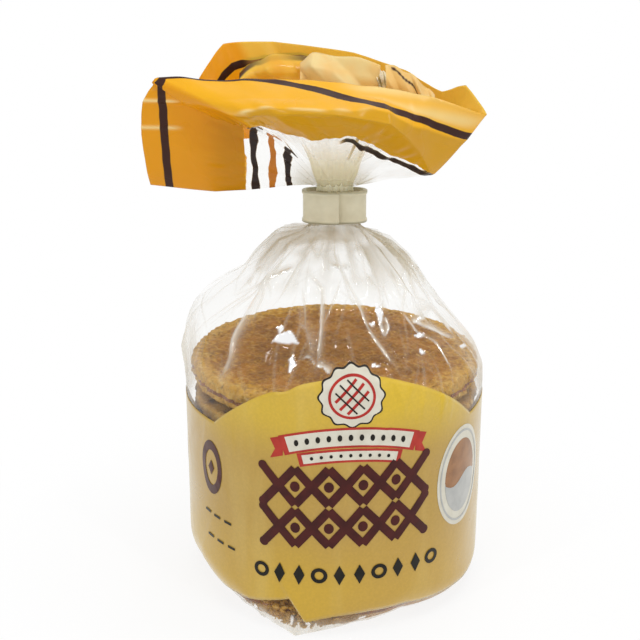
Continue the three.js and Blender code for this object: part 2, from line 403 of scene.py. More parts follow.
def printed_surface(shader, colour, rough_low, rough_high, ripple=0.16, dents=0.0, specular=0.5):
    """Gloss-printed film: a rippled sheet whose sheen varies a little from place to place."""
    normal = shader.bump(shader.noise(150, 3.0), ripple, 0.0009)
    if dents:
        normal = shader.bump(shader.noise(70, 1.0), dents, 0.004, normal)
    roughness = shader.cloud(60, 2.0, 0.3, 0.7, rough_low, rough_high)
    return shader.principled(colour, roughness, normal, specular)


def film_glare(shader, printed):
    """The pale sheen of the clear film over print that is seen at a slant."""
    gloss = shader.bsdf("Glossy", linear(240, 238, 228), Roughness=0.15)
    return shader.mix(shader.times(shader.steepness(), 0.7), printed, gloss)


def label_material():
    shader = Shader("label_print")
    height = shader.height()
    low = shader.blend(shader.range(height, 0.012, 0.036), linear(208, 168, 44), linear(190, 153, 62))
    gold = shader.blend(shader.range(height, 0.048, 0.066), low, linear(220, 184, 44))
    tinted = shader.blend(shader.cloud(24, 2.0, 0.35, 0.7, 0.0, 0.4), gold, linear(186, 148, 84))
    # Painted reflection: pale slanting streaks that stand for the film's wavy sheen.
    leaning = {0: shader.place(), "Rotation": (0, 0.5, 0), "Scale": (3.2, 1.6, 0.7)}
    leaning = shader.node("Mapping", leaning).outputs[0]
    sheen_streaks = shader.cloud(30, 4.0, 0.52, 0.75, 0.0, 0.2, vector=leaning)
    tinted = shader.blend(sheen_streaks, tinted, linear(230, 206, 130))
    colour = shader.dimmed(tinted, shader.cloud(1400, 2.0, 0.3, 0.8, 0.95, 1.03))
    return shader.output(film_glare(shader, printed_surface(shader, colour, 0.26, 0.42)))


def lining_material():
    """The unprinted inner face of the band."""
    shader = Shader("label_lining")
    colour = shader.blend(shader.cloud(160, 3.0, 0.3, 0.75), linear(254, 250, 232), linear(246, 238, 208))
    return shader.output(shader.mix(0.3, shader.bsdf("Diffuse", colour), shader.bsdf("Translucent", colour)))


def ink_material(name, colour, darker):
    shader = Shader(name)
    mottled = shader.blend(shader.cloud(300, 3.0, 0.3, 0.75), colour, darker)
    return shader.output(film_glare(shader, printed_surface(shader, mottled, 0.28, 0.42, specular=0.18)))


def sleeve_material(name, inside):
    """Printed film of the fan: margin, brown stripe, golden band, then clear with three lines."""
    shader = Shader(name)
    across, on_wing = shader.attribute("print_mm"), shader.attribute("other_lines")
    patch = shader.cloud(60, 3.0, 0.35, 0.7, 0.0, 0.5)
    colour = shader.blend(patch, linear(253, 195, 32), linear(246, 182, 26))
    # Painted shade: the hanging wing is darker and oranger than the front panel.
    colour = shader.blend(on_wing, colour, linear(238, 168, 16))
    colour = shader.dimmed(colour, shader.range(shader.attribute("shade"), 0, 1, 1.0, 0.76))
    brown = linear(64, 32, 20)
    if inside:
        faded = shader.math("SUBTRACT", 1.0, shader.attribute("vivid"))
        colour = shader.blend(faded, colour, linear(254, 224, 92))
        brown = shader.blend(faded, brown, linear(186, 140, 82))
    else:
        # Painted highlight: pale along the ridge, on the right margin and at the wing's creases.
        colour = shader.blend(shader.attribute("wear_and_painted_highlight"), colour, linear(255, 236, 170))
    colour = shader.blend(shader.between(across, 0, BROWN_STRIPE), colour, brown)
    lines = [shader.times(shader.between(across, start, start + LINE_WIDTH), shown)
             for start, shown in zip(LINE_STARTS, (shader.attribute("first_line"), on_wing, on_wing))]
    colour = shader.blend(shader.plus(lines[0], lines[2]), colour, linear(58, 46, 42))
    colour = shader.blend(lines[1], colour, linear(214, 138, 52))
    printed = shader.range(across, BAND_END - 0.1, BAND_END + 0.1, 1.0, 0.0)
    for line in lines:
        printed = shader.plus(printed, line)
    ink = printed_surface(shader, colour, 0.2, 0.34, dents=0.35, specular=0.3)
    ink = shader.mix(0.4 if inside else 0.25, ink, shader.bsdf("Translucent", colour))
    if inside:
        film = shader.bsdf("Transparent", WHITE)
    else:
        haze = shader.cloud(90, 3.0, 0.45, 0.8, 0.0, 0.08)
        film = clear_film(shader, shader.plus(haze, shader.attribute("veil")))
    return shader.output(shader.mix(printed, film, ink))


def tuck_material():
    """The paler inner face of the printed film, glowing a little; below the print it is clear."""
    shader = Shader("fan_tucks")
    patch = shader.cloud(90, 3.0, 0.35, 0.7)
    colour = shader.blend(patch, linear(254, 242, 186), linear(254, 224, 144))
    golden = shader.blend(patch, linear(255, 226, 92), linear(252, 204, 66))
    colour = shader.blend(shader.attribute("vivid"), colour, golden)
    colour = shader.blend(shader.attribute("stripe"), colour, linear(92, 56, 42))
    sheet = printed_surface(shader, colour, 0.2, 0.34, ripple=0.3, dents=0.3)
    printed = shader.mix(0.4, sheet, shader.bsdf("Translucent", colour))
    pale = shader.bsdf("Translucent", linear(252, 250, 240))
    film = shader.mix(0.08, shader.bsdf("Transparent", WHITE), pale)
    return shader.output(shader.mix(shader.attribute("clear"), printed, film))


def gathered_material():
    shader = Shader("gathered_film")
    colour = shader.blend(shader.cloud(520, 3.0, 0.3, 0.75), linear(254, 255, 243), linear(246, 245, 224))
    glow = shader.bsdf("Translucent", linear(255, 252, 236))
    bundle = shader.mix(0.5, shader.principled(colour, 0.3), glow)
    return shader.output(shader.mix(shader.attribute("dense"), shader.bsdf("Transparent", WHITE), bundle))


def clip_material():
    """Cream plastic, with painted shade in the corners beside the beads along both edges."""
    shader = Shader("clip_plastic")
    colour = shader.blend(shader.cloud(240, 3.0, 0.3, 0.75), linear(224, 217, 188), linear(212, 204, 174))
    middle = (CLIP_BOTTOM + CLIP_HEIGHT / 2) * MM
    off_middle = shader.math("ABSOLUTE", shader.math("SUBTRACT", shader.height(), middle), 0.0)
    # Painted shade in the corners beside the beads.
    bead_shade = shader.range(off_middle, CLIP_HEIGHT * 0.41 * MM, CLIP_HEIGHT * 0.48 * MM)
    colour = shader.blend(bead_shade, colour, linear(176, 171, 143))
    normal = shader.bump(shader.noise(1800, 2.0), 0.12, 0.0003)
    return shader.output(shader.principled(colour, shader.cloud(500, 2.0, 0.3, 0.7, 0.38, 0.5), normal))


def wafer_material(name, crust, pale, pitted):
    """Baked wafer: mottled crust, paler where the batter is raised or broken, with dark pits."""
    shader = Shader(name)
    golden = shader.attribute("golden")
    fine = shader.cloud(1100, 4.0, 0.35, 0.7, roughness=0.7)
    pores = shader.cloud(1700, 3.0, 0.58, 0.72, roughness=0.6)
    broken = shader.cloud(620, 4.0, 0.5, 0.66, 0.0, 0.6, roughness=0.7)
    cracks = shader.cloud(380, 3.0, 0.56, 0.7, 0.0, 0.55, roughness=0.7)
    raised = linear(210, 164, 90)
    colour = crust
    for share, tone in (
        (shader.cloud(90, 5.0, 0.36, 0.64, 0.0, 0.8, roughness=0.65), pitted),
        (shader.cloud(420, 4.0, 0.52, 0.68, 0.0, 0.6, roughness=0.7), raised),
        (shader.times(fine, 0.25), raised),
        (golden, pale),
        (shader.times(broken, golden), linear(240, 212, 138)),
        (shader.times(cracks, golden), pitted),
        (shader.times(pores, 0.5), pitted),
    ):
        colour = shader.blend(share, colour, tone)
    height = shader.math("ADD", shader.noise(800, 6.0, 0.75), shader.times(pores, -0.5))
    roughness = shader.range(fine, 0, 1, 0.6, 0.85)
    return shader.output(shader.principled(colour, roughness, shader.bump(height, 0.8, 0.0011)))


def syrup_material():
    shader = Shader("caramel_syrup")
    colour = shader.blend(shader.cloud(200, 3.0, 0.3, 0.7), linear(164, 100, 38), linear(116, 64, 22))
    return shader.output(shader.principled(colour, 0.3, shader.bump(shader.noise(600, 2.0), 0.4, 0.0005)))


# ---- the film round the stack -----------------------------------------------------------------
FILM_COLUMNS = 640
BASE_SHARES = (0.1, 0.4, 0.7, 0.95)  # rows of the flat base, from its middle outwards
BASE_LIFT = 0.02
FOOT_ROWS = 16
DRUM_ROWS = 34
SHOULDER_ROWS = 90
ROUND_PLEATS = 0.45  # the shoulder's pleats are partly round
SHARP_PLEATS = 0.75  # and partly sharp, as shares of PLEAT_DEPTH
ROW_STEP = 1e-4  # each row is raised this much more than the last
LEVEL_STEP = 0.5  # of the table that tells how far out the film is
LEVELS = np.maximum(np.arange(0, CLIP_BOTTOM, LEVEL_STEP), 0.1)
# The gathered neck: how far it stands out from its oval, height above the clip's lower edge.
NECK_ROWS = [(1.9, -2.2), (0.5, -1.2), (0, -0.4), (0, CLIP_HEIGHT)]
NECK_VEIL = 0.5
# Creases that fan from the neck: (degrees from the front, height) stations, half width, whiteness.
CREASES = [
    ([(-45, 94), (-48, 91), (-44, 86), (-42, 81), (-41, 75), (-45, 69)], 0.7, 0.75),
    ([(-18, 95), (-9, 92), (-7, 88), (-6, 82), (-7, 76)], 0.4, 0.9),
    ([(-20, 89), (-15, 85), (-12, 84), (-8, 76)], 0.9, 0.4),
    ([(3, 92), (10, 89.5), (14.5, 88), (16.5, 84.5), (18, 82), (21, 78.5), (25, 74)], 0.35, 0.8),
    ([(41, 86.5), (42, 83), (43, 80.5), (50, 77), (50, 73.5), (51, 70)], 0.35, 0.8),
    ([(43, 83), (51, 83), (66.5, 83), (68, 80), (68.5, 77.5), (69, 75)], 0.95, 1.0),
    ([(43, 83), (46, 82.5), (50, 81), (56.5, 79), (63, 76.5), (68, 75)], 0.8, 1.0),
    ([(31, 88.5), (24.5, 86.5), (23.5, 84.5), (23, 81.5)], 0.5, 1.0),
    ([(23, 81.5), (27, 83.5), (27.5, 85.5)], 0.45, 1.0),
    ([(-12, 78), (-10, 79), (-8, 78), (-7, 77)], 0.25, 0.7),
    ([(-7, 77), (-4, 77), (-1, 75)], 0.5, 1.0),
    ([(-61, 95), (-64, 92), (-64, 88)], 0.45, 0.6),
    ([(47, 96), (47, 91), (64, 85), (80, 80)], 0.45, 0.6),
    ([(-76, 86), (-80, 76), (-76, 66), (-74, 58)], 0.8, 0.5),
    ([(66, 88), (71, 80), (72, 70), (74, 60)], 0.6, 0.5),
    ([(-8, 98), (4, 97), (19, 96)], 0.6, 0.9),
    ([(-61, 87.5), (-49, 91.5), (-42, 94), (-26, 97)], 0.6, 0.9),
    ([(86, 92), (85, 90), (84, 86)], 0.8, 0.8),
    ([(-44, 6.5), (-36, 4.2), (-27, 5.6), (-20, 3.0)], 0.4, 0.7),
    ([(-33, 7), (-28, 3), (-22, 1.6)], 0.35, 0.8),
    ([(2, 5), (14, 2.6), (27, 4)], 0.35, 0.7),
    ([(118, 96), (124, 90), (120, 82), (128, 72)], 0.45, 0.7),
    ([(166, 97), (160, 88), (163, 78), (158, 70)], 0.4, 0.7),
    ([(-150, 97), (-146, 89), (-152, 80), (-147, 70)], 0.45, 0.7),
    ([(-112, 95), (-118, 86), (-113, 76), (-116, 66)], 0.4, 0.6),
]
# Small flat dents that catch the light: degrees, height, half width, half height.
SHARDS = [
    (-21, 82.2, 2.9, 1.3), (-16, 77, 0.8, 2.1), (-24, 84, 0.9, 0.7), (16, 76, 1.0, 0.5), (40, 76.4, 1.4, 0.9),
    (70, 72.6, 1.2, 0.8), (43.5, 79.7, 0.9, 0.6), (20, 84, 0.6, 0.5), (25, 86.5, 0.7, 1.4),
    (-38, 3.2, 1.2, 0.8), (-30, 5.6, 0.8, 0.7), (-24, 2.2, 1.6, 0.6), (-15, 4.2, 0.6, 0.9),
    (12, 3.6, 1.2, 0.5), (28, 3.1, 1.6, 0.5), (150, 80, 1.6, 1.0), (-140, 77, 0.9, 1.7),
    (100, 79, 1.7, 0.8), (-95, 81, 1.2, 0.9),
]
CREASE_LIFT = 0.8
CREASE_FOOT = 2.8  # a crease's flanks are so many half widths wide
CREASE_FLANKS = (0.8, 2.2)  # its whiteness fades over so many half widths on either side
SHARD_DEPTH = 0.35
# Fine creases over shoulder and drum: how many, and the ranges of height, half length and depth.
WRINKLE_SETS = [(90, (66, 99), (4, 16), (0.10, 0.42)), (46, (12, 62), (5, 18), (0.03, 0.10))]
WRINKLE_LEAN = 0.9  # usual lean, in degrees round the pack for each millimetre of height
WRINKLE_FLANK = (3, 9)  # range of widths of the slack side
WRINKLE_EDGE = (0.5, 1.0)  # and of the sharp side
WRINKLE_BLUR = 0.4  # half width of the whiteness along it
# Where the film is hazy, each as the four limits of window(): degrees from the front, or heights.
HAZE_SIDES = (58, 82, 98, 114)
HAZE_HEIGHTS = (50, 55, 70, 84)
HAZE_FOOT = (-54, -40, 4, 48)

film_turns = np.arange(FILM_COLUMNS) / FILM_COLUMNS
film_angles = np.pi * (1 + 2 * film_turns)
film_degrees = ((film_turns - 0.25) * 360 + 180) % 360 - 180  # from the front, positive to the right
shoulder_folds = gathers(film_turns, 34, 5)


def bump_at(centre, spread):
    """1 at so many degrees from +X, falling to 0 at the spread to each side."""
    off = np.abs((np.degrees(film_angles) - centre + 540) % 360 - 180)
    return np.maximum(1 - off / spread, 0) ** 1.5


def foot_rows():
    """Radius and height of each row of the base, the foot and the drum, from the base up."""
    corner = np.maximum(bump_at(FOOT_CORNER_TURN, FOOT_CORNER_SPREAD),
                        bump_at(FOOT_CORNER_TURN - 180, FOOT_CORNER_SPREAD))
    rounding = FOOT_ROUNDING + sum(extra * bump_at(turn, spread) for turn, spread, extra in FOOT_CHANGES)
    low = rounding * (1 - FOOT_CORNER_DROP * corner)
    rows = [((BODY_RADIUS - rounding) * share, np.zeros(FILM_COLUMNS)) for share in BASE_SHARES]
    for turn_in in np.linspace(0, np.pi / 2, FOOT_ROWS):
        plain = BODY_RADIUS - rounding * (1 - math.sin(turn_in))
        reach = lerp(FOOT_CORNER_REACH, BODY_RADIUS + FOOT_CORNER_BULGE, turn_in / (np.pi / 2))
        rows.append((lerp(plain, reach, corner), low * (1 - math.cos(turn_in)) + BASE_LIFT))
    for share in np.linspace(0.03, 1, DRUM_ROWS):
        fade = max(0.0, 1 - share * (BODY_TOP - FOOT_ROUNDING) / BULGE_FADE)
        rows.append((BODY_RADIUS + FOOT_CORNER_BULGE * fade * corner, lerp(low, BODY_TOP, share)))
    return rows


def shoulder_rows():
    """The same for the pleated shoulder, which is full on the left and slimmer on the right."""
    full_share = np.clip(0.55 - 0.5 * np.cos(film_angles) - 0.1 * np.sin(film_angles), 0, 1)
    run_out = np.random.default_rng(6).uniform(0.1, 0.6, FILM_COLUMNS // 20).repeat(20)
    places = np.linspace(0, 1, SHOULDER_ROWS)
    depths = np.interp(places * (len(PLEAT_DEPTH) - 1), range(len(PLEAT_DEPTH)), PLEAT_DEPTH)
    curves = (traced(points, SHOULDER_ROWS) for points in (SLIM_SHOULDER, FULL_SHOULDER))
    rows = []
    for along, depth, slim, full in zip(places, depths, *curves):
        radius, height = (lerp(*pair, full_share) for pair in zip(slim, full))
        sharp = shoulder_folds * smoothstep(run_out, run_out + 0.35, along)
        pleat = ROUND_PLEATS * pleat_wave(film_angles) + SHARP_PLEATS * sharp
        rows.append((radius + depth * pleat, height))
    return rows


def meridian_rows():
    """Radius and height of every row of the film up to the clip."""
    radius, height = np.array(foot_rows() + shoulder_rows()).swapaxes(0, 1)
    height = height + np.arange(len(height))[:, None] * ROW_STEP
    return radius, np.maximum.accumulate(height, 0)


def reach_levels(radius, height):
    """The film's radius for every column at every level."""
    return np.array([np.interp(LEVELS, height[:, c], radius[:, c]) for c in range(FILM_COLUMNS)])


def film_reach(degrees, height):
    """The film's radius at so many degrees from the front and that height."""
    column = (np.asarray(degrees) / 360 + 0.25) % 1 * FILM_COLUMNS
    level = np.clip(np.asarray(height) / LEVEL_STEP, 0, len(LEVELS) - 1.001)
    left, under = np.floor(column).astype(int) % FILM_COLUMNS, np.floor(level).astype(int)
    right = (left + 1) % FILM_COLUMNS
    across, up = column - np.floor(column), level - under
    low = lerp(reach_table[left, under], reach_table[right, under], across)
    high = lerp(reach_table[left, under + 1], reach_table[right, under + 1], across)
    return lerp(low, high, up)


def film_point(degrees, height, lift=0.0):
    return ring_points(film_reach(degrees, height) + lift, math.radians(degrees - 90), height)


def crease_distance(points, places):
    """How far every grid point is from a crease, on which side of it, and where along it."""
    near = np.full(points.shape[:2], 1e9)
    side, along = np.zeros_like(near), np.zeros_like(near)
    route = traced([film_point(*place) for place in places], 7 * (len(places) - 1) + 1)
    for step, (start, end) in enumerate(zip(route[:-1], route[1:])):
        line, off = end - start, points - start
        round_pack = np.array([-start[1], start[0], 0]) / math.hypot(start[0], start[1])
        share = np.clip((off @ line) / (line @ line), 0, 1)
        away = np.linalg.norm(off - share[..., None] * line, axis=-1)
        closer = away < near
        along = np.where(closer, (step + share) / (len(route) - 1), along)
        side = np.where(closer, (off @ round_pack) * line[2] - off[..., 2] * (line @ round_pack), side)
        near = np.minimum(near, away)
    return near, side, along


def shard_mask(points, degrees, height, half_wide, half_tall, seed):
    """1 inside a small patch of the film with straight, uneven edges, 0 outside."""
    local = np.random.default_rng(seed)
    angle = math.radians(degrees - 90)
    off = points - film_point(degrees, height)
    across = (off[..., 1] * math.cos(angle) - off[..., 0] * math.sin(angle)) / half_wide
    up = off[..., 2] / half_tall
    away = np.full(points.shape[:2], -1e9)
    for corner in (np.arange(4) + local.uniform(-0.4, 0.4, 4)) * math.pi / 2 + 0.4:
        edge = across * math.cos(corner) + up * math.sin(corner)
        away = np.maximum(away, edge / local.uniform(0.45, 1.1))
    near = np.linalg.norm(off, axis=-1) < 3 * max(half_wide, half_tall)
    return smoothstep(1.1, 0.95, away) * near


def wrinkles(radius, height):
    """Lift and veil of many small creases: a broad slack flank that breaks at a sharp edge."""
    local = np.random.default_rng(17)
    lift, veil = np.zeros(radius.shape), np.zeros(radius.shape)
    for count, heights, lengths, sizes in WRINKLE_SETS:
        for _ in range(count):
            middle, half_long, size = (local.uniform(*limits) for limits in (heights, lengths, sizes))
            turn, lean = local.uniform(-180, 180), local.normal(0, WRINKLE_LEAN)
            flank, edge = local.uniform(*WRINKLE_FLANK), local.uniform(*WRINKLE_EDGE)
            if local.random() < 0.5:
                flank, edge = edge, flank
            line = turn + lean * (height - middle)
            across = np.radians((film_degrees - line + 540) % 360 - 180) * radius
            shape = np.where(across < 0, 1 + across / flank, 1 - across / edge)
            held = smoothstep(1.0, 0.35, np.abs(height - middle) / half_long)
            lift += size * held * np.clip(shape, 0, 1)
            shown = lerp(0.5, 1.2, smoothstep(80, 90, height))
            veil = np.maximum(veil, shown * size * held * np.exp(-(across / WRINKLE_BLUR) ** 2))
    return lift, veil


def crease_film(points, veil):
    """Lift, veil and glint of the film with its creases and shards."""
    lift, glint = np.zeros(veil.shape), np.zeros(veil.shape)
    for number, (places, half_width, whiteness) in enumerate(CREASES):
        away, side, along = crease_distance(points, places)
        taper = np.clip(5 * np.minimum(along, 1 - along) + 0.15, 0, 1)
        taper = taper * (0.8 + 0.2 * np.sin(14 * along + number))
        ridge = np.clip(1 - away / (CREASE_FOOT * half_width), 0, 1)
        lift = np.maximum(lift, CREASE_LIFT * taper * ridge)
        blur = half_width * np.where(side > 0, *CREASE_FLANKS)
        veil = np.maximum(veil, 0.8 * whiteness * taper * np.exp(-(away / blur) ** 1.5))
        core = smoothstep(1.0, 0.4, away / (0.8 * half_width)) * smoothstep(0.45, 0.8, taper)
        glint = np.maximum(glint, whiteness ** 3 * core)
    for number, shard in enumerate(SHARDS):
        patch = shard_mask(points, *shard, 200 + number)
        lift = lift - SHARD_DEPTH * patch
        glint = np.maximum(glint, patch)
        veil = veil * (1 - patch)
    return lift, veil, glint


def film_haze(height):
    """Pale haze at both sides of the stack, at the front of the foot and between the pleats."""
    off_front = np.abs(film_degrees)
    slack = 0.55 * gathers(film_turns, 210, 31) + 0.9 * ruffle(film_angles, 32, (19, 34, 53, 71))
    slack = slack + 0.5 * np.sin(height * 0.31 + 4 * ruffle(film_angles, 34, (5, 8, 13)))
    streaks = 0.3 + 0.3 * smoothstep(-0.9, 1.1, slack)
    streaks = streaks + 0.3 * smoothstep(66, 58, height) * smoothstep(76, 86, off_front)
    beside = window(off_front, *HAZE_SIDES) * window(height, *HAZE_HEIGHTS) * streaks
    foot = window(film_degrees, *HAZE_FOOT) * smoothstep(7.5, 3.0, height)
    foot = foot * (0.2 + 0.22 * smoothstep(-0.9, 0.9, gathers(film_turns, 90, 33)))
    pleats = smoothstep(86, 102, height) * (0.12 + 0.4 * smoothstep(0.3, -0.8, shoulder_folds))
    return np.maximum(np.maximum(beside, foot), pleats)


def make_film(material):
    pleat = NECK_PLEAT * pleat_wave(film_angles)
    neck = [ring_points(grow + pleat, film_angles, CLIP_BOTTOM + up, NECK_HALF) for grow, up in NECK_ROWS]
    rows = np.concatenate([ring_points(film_radius, film_angles, film_height), neck])
    ids = grid_ids(rows)
    vertices = np.concatenate([rows.reshape(-1, 3), [[0, 0, BASE_LIFT]]])
    piece = new_object("bag_film", vertices, grid_faces(ids) + cap_faces(ids.size, ids[0][::-1]), material)
    on_neck = len(neck) * FILM_COLUMNS
    add_attribute(piece, "veil", np.r_[film_veil.ravel(), np.full(on_neck, NECK_VEIL), 0])
    add_attribute(piece, "glint", np.r_[film_glint.ravel(), np.zeros(on_neck + 1)])
    finish_piece(piece, "bag")


# ---- the printed band and what is printed on it -----------------------------------------------
# Lower edge of the band: degrees from the front, height. The front sheet laps over the left one.
LABEL_FOOT = [(-180, 6.5), (-75, 4.6), (-60, 4.4), (-50.9, 5.6), (-44.3, 6.4), (-36.7, 6.7), (-27.9, 8.1),
              (-21.2, 9.5), (-15.8, 10.7), (-12.3, 6.9), (-10.5, 4.3), (-7.2, 5.1), (-4, 5.7), (0.7, 6.3),
              (5.5, 6.5), (12.4, 6.6), (26.8, 6.4), (35.6, 5.5), (44.7, 5.1), (60, 5.0), (180, 6.5)]
LAP_TOP = (-23.7, 19.0)  # where the lap's slanting fold starts
LAP_FOOT = (-10.4, 4.4)  # and where it ends
LAP_LIFT = 0.55
LAP_RISE = 0.8  # degrees over which the front sheet rises at the fold
LAP_REACH = 18  # and over which it comes down again
LABEL_SHELF = 56.5  # height of the band's upper edge beside the arch
LABEL_BACK_DROP = 14.0  # and how much lower it runs behind
LABEL_BACK_AT = (84, 112)  # it falls between these degrees from the front
LABEL_DIP = 0.9  # depth of the small dip in the left half of the arch
LABEL_DIP_AT = -17.0  # degrees
LABEL_DIP_SPREAD = 3.5
ARCH_RISE = 17.8
ARCH_HALF = 55.0  # degrees
ARCH_CENTRE = 6.0
LABEL_ROWS = 52
INK_CELL = 1.6  # print is cut this small, so that it bends round the drum
RIBBON_BEND = 0.010
# Inks by name: how far each lies above the band, and its colours.
INKS = {
    "outline": (0.00, linear(36, 32, 28), linear(50, 44, 38)),
    "red_edge": (0.03, linear(190, 62, 50), linear(170, 50, 42)),
    "white": (0.07, linear(226, 222, 206), linear(214, 208, 190)),
    "red": (0.11, linear(186, 52, 44), linear(166, 42, 38)),
    "brown": (0.11, linear(80, 30, 26), linear(64, 24, 22)),
    "toast": (0.11, linear(166, 116, 72), linear(142, 96, 58)),
    "grey": (0.15, linear(192, 192, 188), linear(178, 179, 176)),
    "black": (0.15, linear(26, 24, 18), linear(38, 34, 28)),
}


def label_top(degrees):
    arch = ARCH_RISE * np.clip(1 - ((degrees - ARCH_CENTRE) / ARCH_HALF) ** 2, 0, 1)
    dip = LABEL_DIP * np.exp(-((degrees - LABEL_DIP_AT) / LABEL_DIP_SPREAD) ** 2)
    behind = LABEL_BACK_DROP * smoothstep(*LABEL_BACK_AT, np.abs(degrees))
    return LABEL_SHELF + 0.35 * ruffle(np.radians(degrees), 9, (4, 7, 11)) - behind + arch - dip


def lap_lift(degrees, height):
    """How far the front sheet stands off beside the lap's fold."""
    past = degrees - np.interp(height, (LAP_FOOT[1], LAP_TOP[1]), (LAP_FOOT[0], LAP_TOP[0]))
    ease = np.clip(1 - past / LAP_REACH, 0, 1) * smoothstep(LAP_TOP[1] + 3, LAP_TOP[1] - 8, height)
    return LAP_LIFT * np.clip(past / LAP_RISE, 0, 1) * ease


def make_label(material, lining):
    foot = np.interp(film_degrees, *zip(*LABEL_FOOT))
    height = lerp(foot, label_top(film_degrees), np.linspace(0, 1, LABEL_ROWS)[:, None])
    radius = np.stack([np.interp(height[:, c], film_height[:, c], film_radius[:, c])
                       for c in range(FILM_COLUMNS)], 1)
    radius = radius + lap_lift(film_degrees, height) + PRINT_GAP
    outer, inner = (ring_points(reach, film_angles, height) for reach in (radius + PRINT_SKIN, radius))
    finish_piece(shell_between("label_band", outer, inner, material, lining, {}), "bag")


class Ink:
    """Flat shapes in the label's own plane: millimetres round the drum, and height."""

    def __init__(self):
        self.polygons = []

    def polygon(self, points):
        self.polygons.append([tuple(p) for p in points])

    def loop(self, centre, half, steps=48, scallop=(0, 0.0), start=0.0, end=2 * math.pi):
        waves, depth = scallop
        angles = np.linspace(start, end, steps, endpoint=end - start < 6.2)
        grow = 1 + depth * np.cos(waves * angles)
        return [(centre[0] + half[0] * g * math.cos(a), centre[1] + half[1] * g * math.sin(a))
                for a, g in zip(angles, grow)]

    def disc(self, centre, half, **shape):
        self.polygon(self.loop(centre, half, **shape))

    def ring(self, centre, half, inner, **shape):
        outside, inside = self.loop(centre, half, **shape), self.loop(centre, inner, **shape)
        for i in range(len(outside)):
            after = (i + 1) % len(outside)
            self.polygon([outside[i], outside[after], inside[after], inside[i]])

    def band(self, path, width):
        path = np.array(path, float)
        along = np.gradient(path, axis=0)
        side = np.stack([-along[:, 1], along[:, 0]], -1)
        side = side / np.linalg.norm(side, axis=1, keepdims=True) * width / 2
        right, left = path - side, path + side
        for i in range(len(path) - 1):
            self.polygon([right[i], right[i + 1], left[i + 1], left[i]])


def cut_flat(ink):
    """The ink's polygons as a flat mesh in small cells."""
    mesh = bmesh.new()
    for polygon in ink.polygons:
        mesh.faces.new([mesh.verts.new((x, z, 0)) for x, z in polygon])
    bmesh.ops.remove_doubles(mesh, verts=mesh.verts[:], dist=1e-4)
    bmesh.ops.triangulate(mesh, faces=mesh.faces[:])
    flat = np.concatenate(ink.polygons)
    for axis, normal in ((0, (1, 0, 0)), (1, (0, 1, 0))):
        for at in np.arange(flat[:, axis].min() + INK_CELL, flat[:, axis].max(), INK_CELL):
            everything = mesh.verts[:] + mesh.edges[:] + mesh.faces[:]
            bmesh.ops.bisect_plane(mesh, geom=everything, plane_co=Vector(normal) * at, plane_no=normal)
    mesh.verts.index_update()
    return mesh


def print_ink(name, ink, lift, material):
    """Lays the ink on the band as a thin solid that follows the film."""
    mesh = cut_flat(ink)
    base, raised = [], []
    for vertex in mesh.verts:
        degrees, height = vertex.co.x / MM_PER_DEGREE, vertex.co.y
        above = PRINT_GAP + PRINT_SKIN + lift + lap_lift(degrees, height)
        base.append(film_point(degrees, height, above))
        raised.append(film_point(degrees, height, above + INK_SKIN))
    count = len(base)
    faces = []
    for face in mesh.faces:
        way = -1 if face.normal.z < 0 else 1
        corners = [v.index for v in face.verts][::way]
        faces += [[i + count for i in corners], corners[::-1]]
        for loop in face.loops:
            if loop.edge.is_boundary:
                a, b = (loop.vert.index, loop.link_loop_next.vert.index)[::way]
                faces.append([a, b, b + count, a + count])
    mesh.free()
    finish_piece(new_object(name, base + raised, faces, material, smooth=False), "bag")


def at_degrees(degrees):
    return degrees * MM_PER_DEGREE


def emblem(inks):
    """A scalloped rosette with a ring and a small lattice, at the top of the arch."""
    centre = np.array((at_degrees(6.5), 69.4))
    inks["outline"].disc(centre, (8.6, 7.9), steps=96, scallop=(12, 0.05))
    inks["white"].disc(centre, (8.1, 7.4), steps=96, scallop=(12, 0.05))
    inks["red"].ring(centre, (6.2, 5.7), (5.5, 5.0))
    for step in (-2.2, 0, 2.2):
        reach = math.sqrt(4.5 ** 2 - step ** 2)
        for way, key, width in ((1, "red", 0.75), (-1, "black", 0.4)):
            along = np.array([1, way]) / math.sqrt(2)
            middle = centre + np.array([-way, 1]) / math.sqrt(2) * step
            inks[key].band([middle - along * reach, middle + along * reach], width)


def ribbon(inks):
    """An arched ribbon with a shorter one under it, edged in red and dotted."""
    centre = at_degrees(6)
    for half_long, height, width in ((13.5, 53.6, 3.8), (18.0, 58.6, 5.6)):
        path = [(centre + x, height - RIBBON_BEND * x * x) for x in np.linspace(-half_long, half_long, 25)]
        inks["red_edge"].band(path, width)
        inks["white"].band(path[1:-1], width - 1.3)
    for reach, count, height, half, steps in ((14, 11, 58.6, (0.6, 0.9), 12), (10, 9, 53.6, (0.45, 0.5), 8)):
        for x in np.linspace(-reach, reach, count):
            inks["black"].disc((centre + x, height - RIBBON_BEND * x * x), half, steps=steps)
    for side in (-1, 1):
        x = centre + side * 17.6
        inks["red_edge"].polygon([(x, 58.2), (x, 52.6), (x + side * 3.6, 51.4), (x + side * 2.2, 54.2),
                                  (x + side * 3.6, 57.0)])


def lattice_row(ink, height, cells=5, cell=8.9, half_tall=5.2, width=2.4, rise=0.045):
    """Two zigzags that cross, like a row of waffle cells, with a dot in each cell."""
    corners = [at_degrees(4.5) + (k - cells / 2) * cell for k in range(cells + 1)]

    def corner(k, up=0.0):
        return corners[k], height + up + rise * corners[k]

    for way in (1, -1):
        for k in range(cells):
            up = way * half_tall * (1 if k % 2 else -1)
            ink.band([corner(k, up), corner(k + 1, -up)], width)
    for k in range(1, cells):
        ink.disc(corner(k), (1.3, 1.5), steps=16)
    for k in (0, -1):
        for up in (-half_tall, half_tall):
            ink.disc(corner(k, up), (width * 0.55, width * 0.55), steps=14)


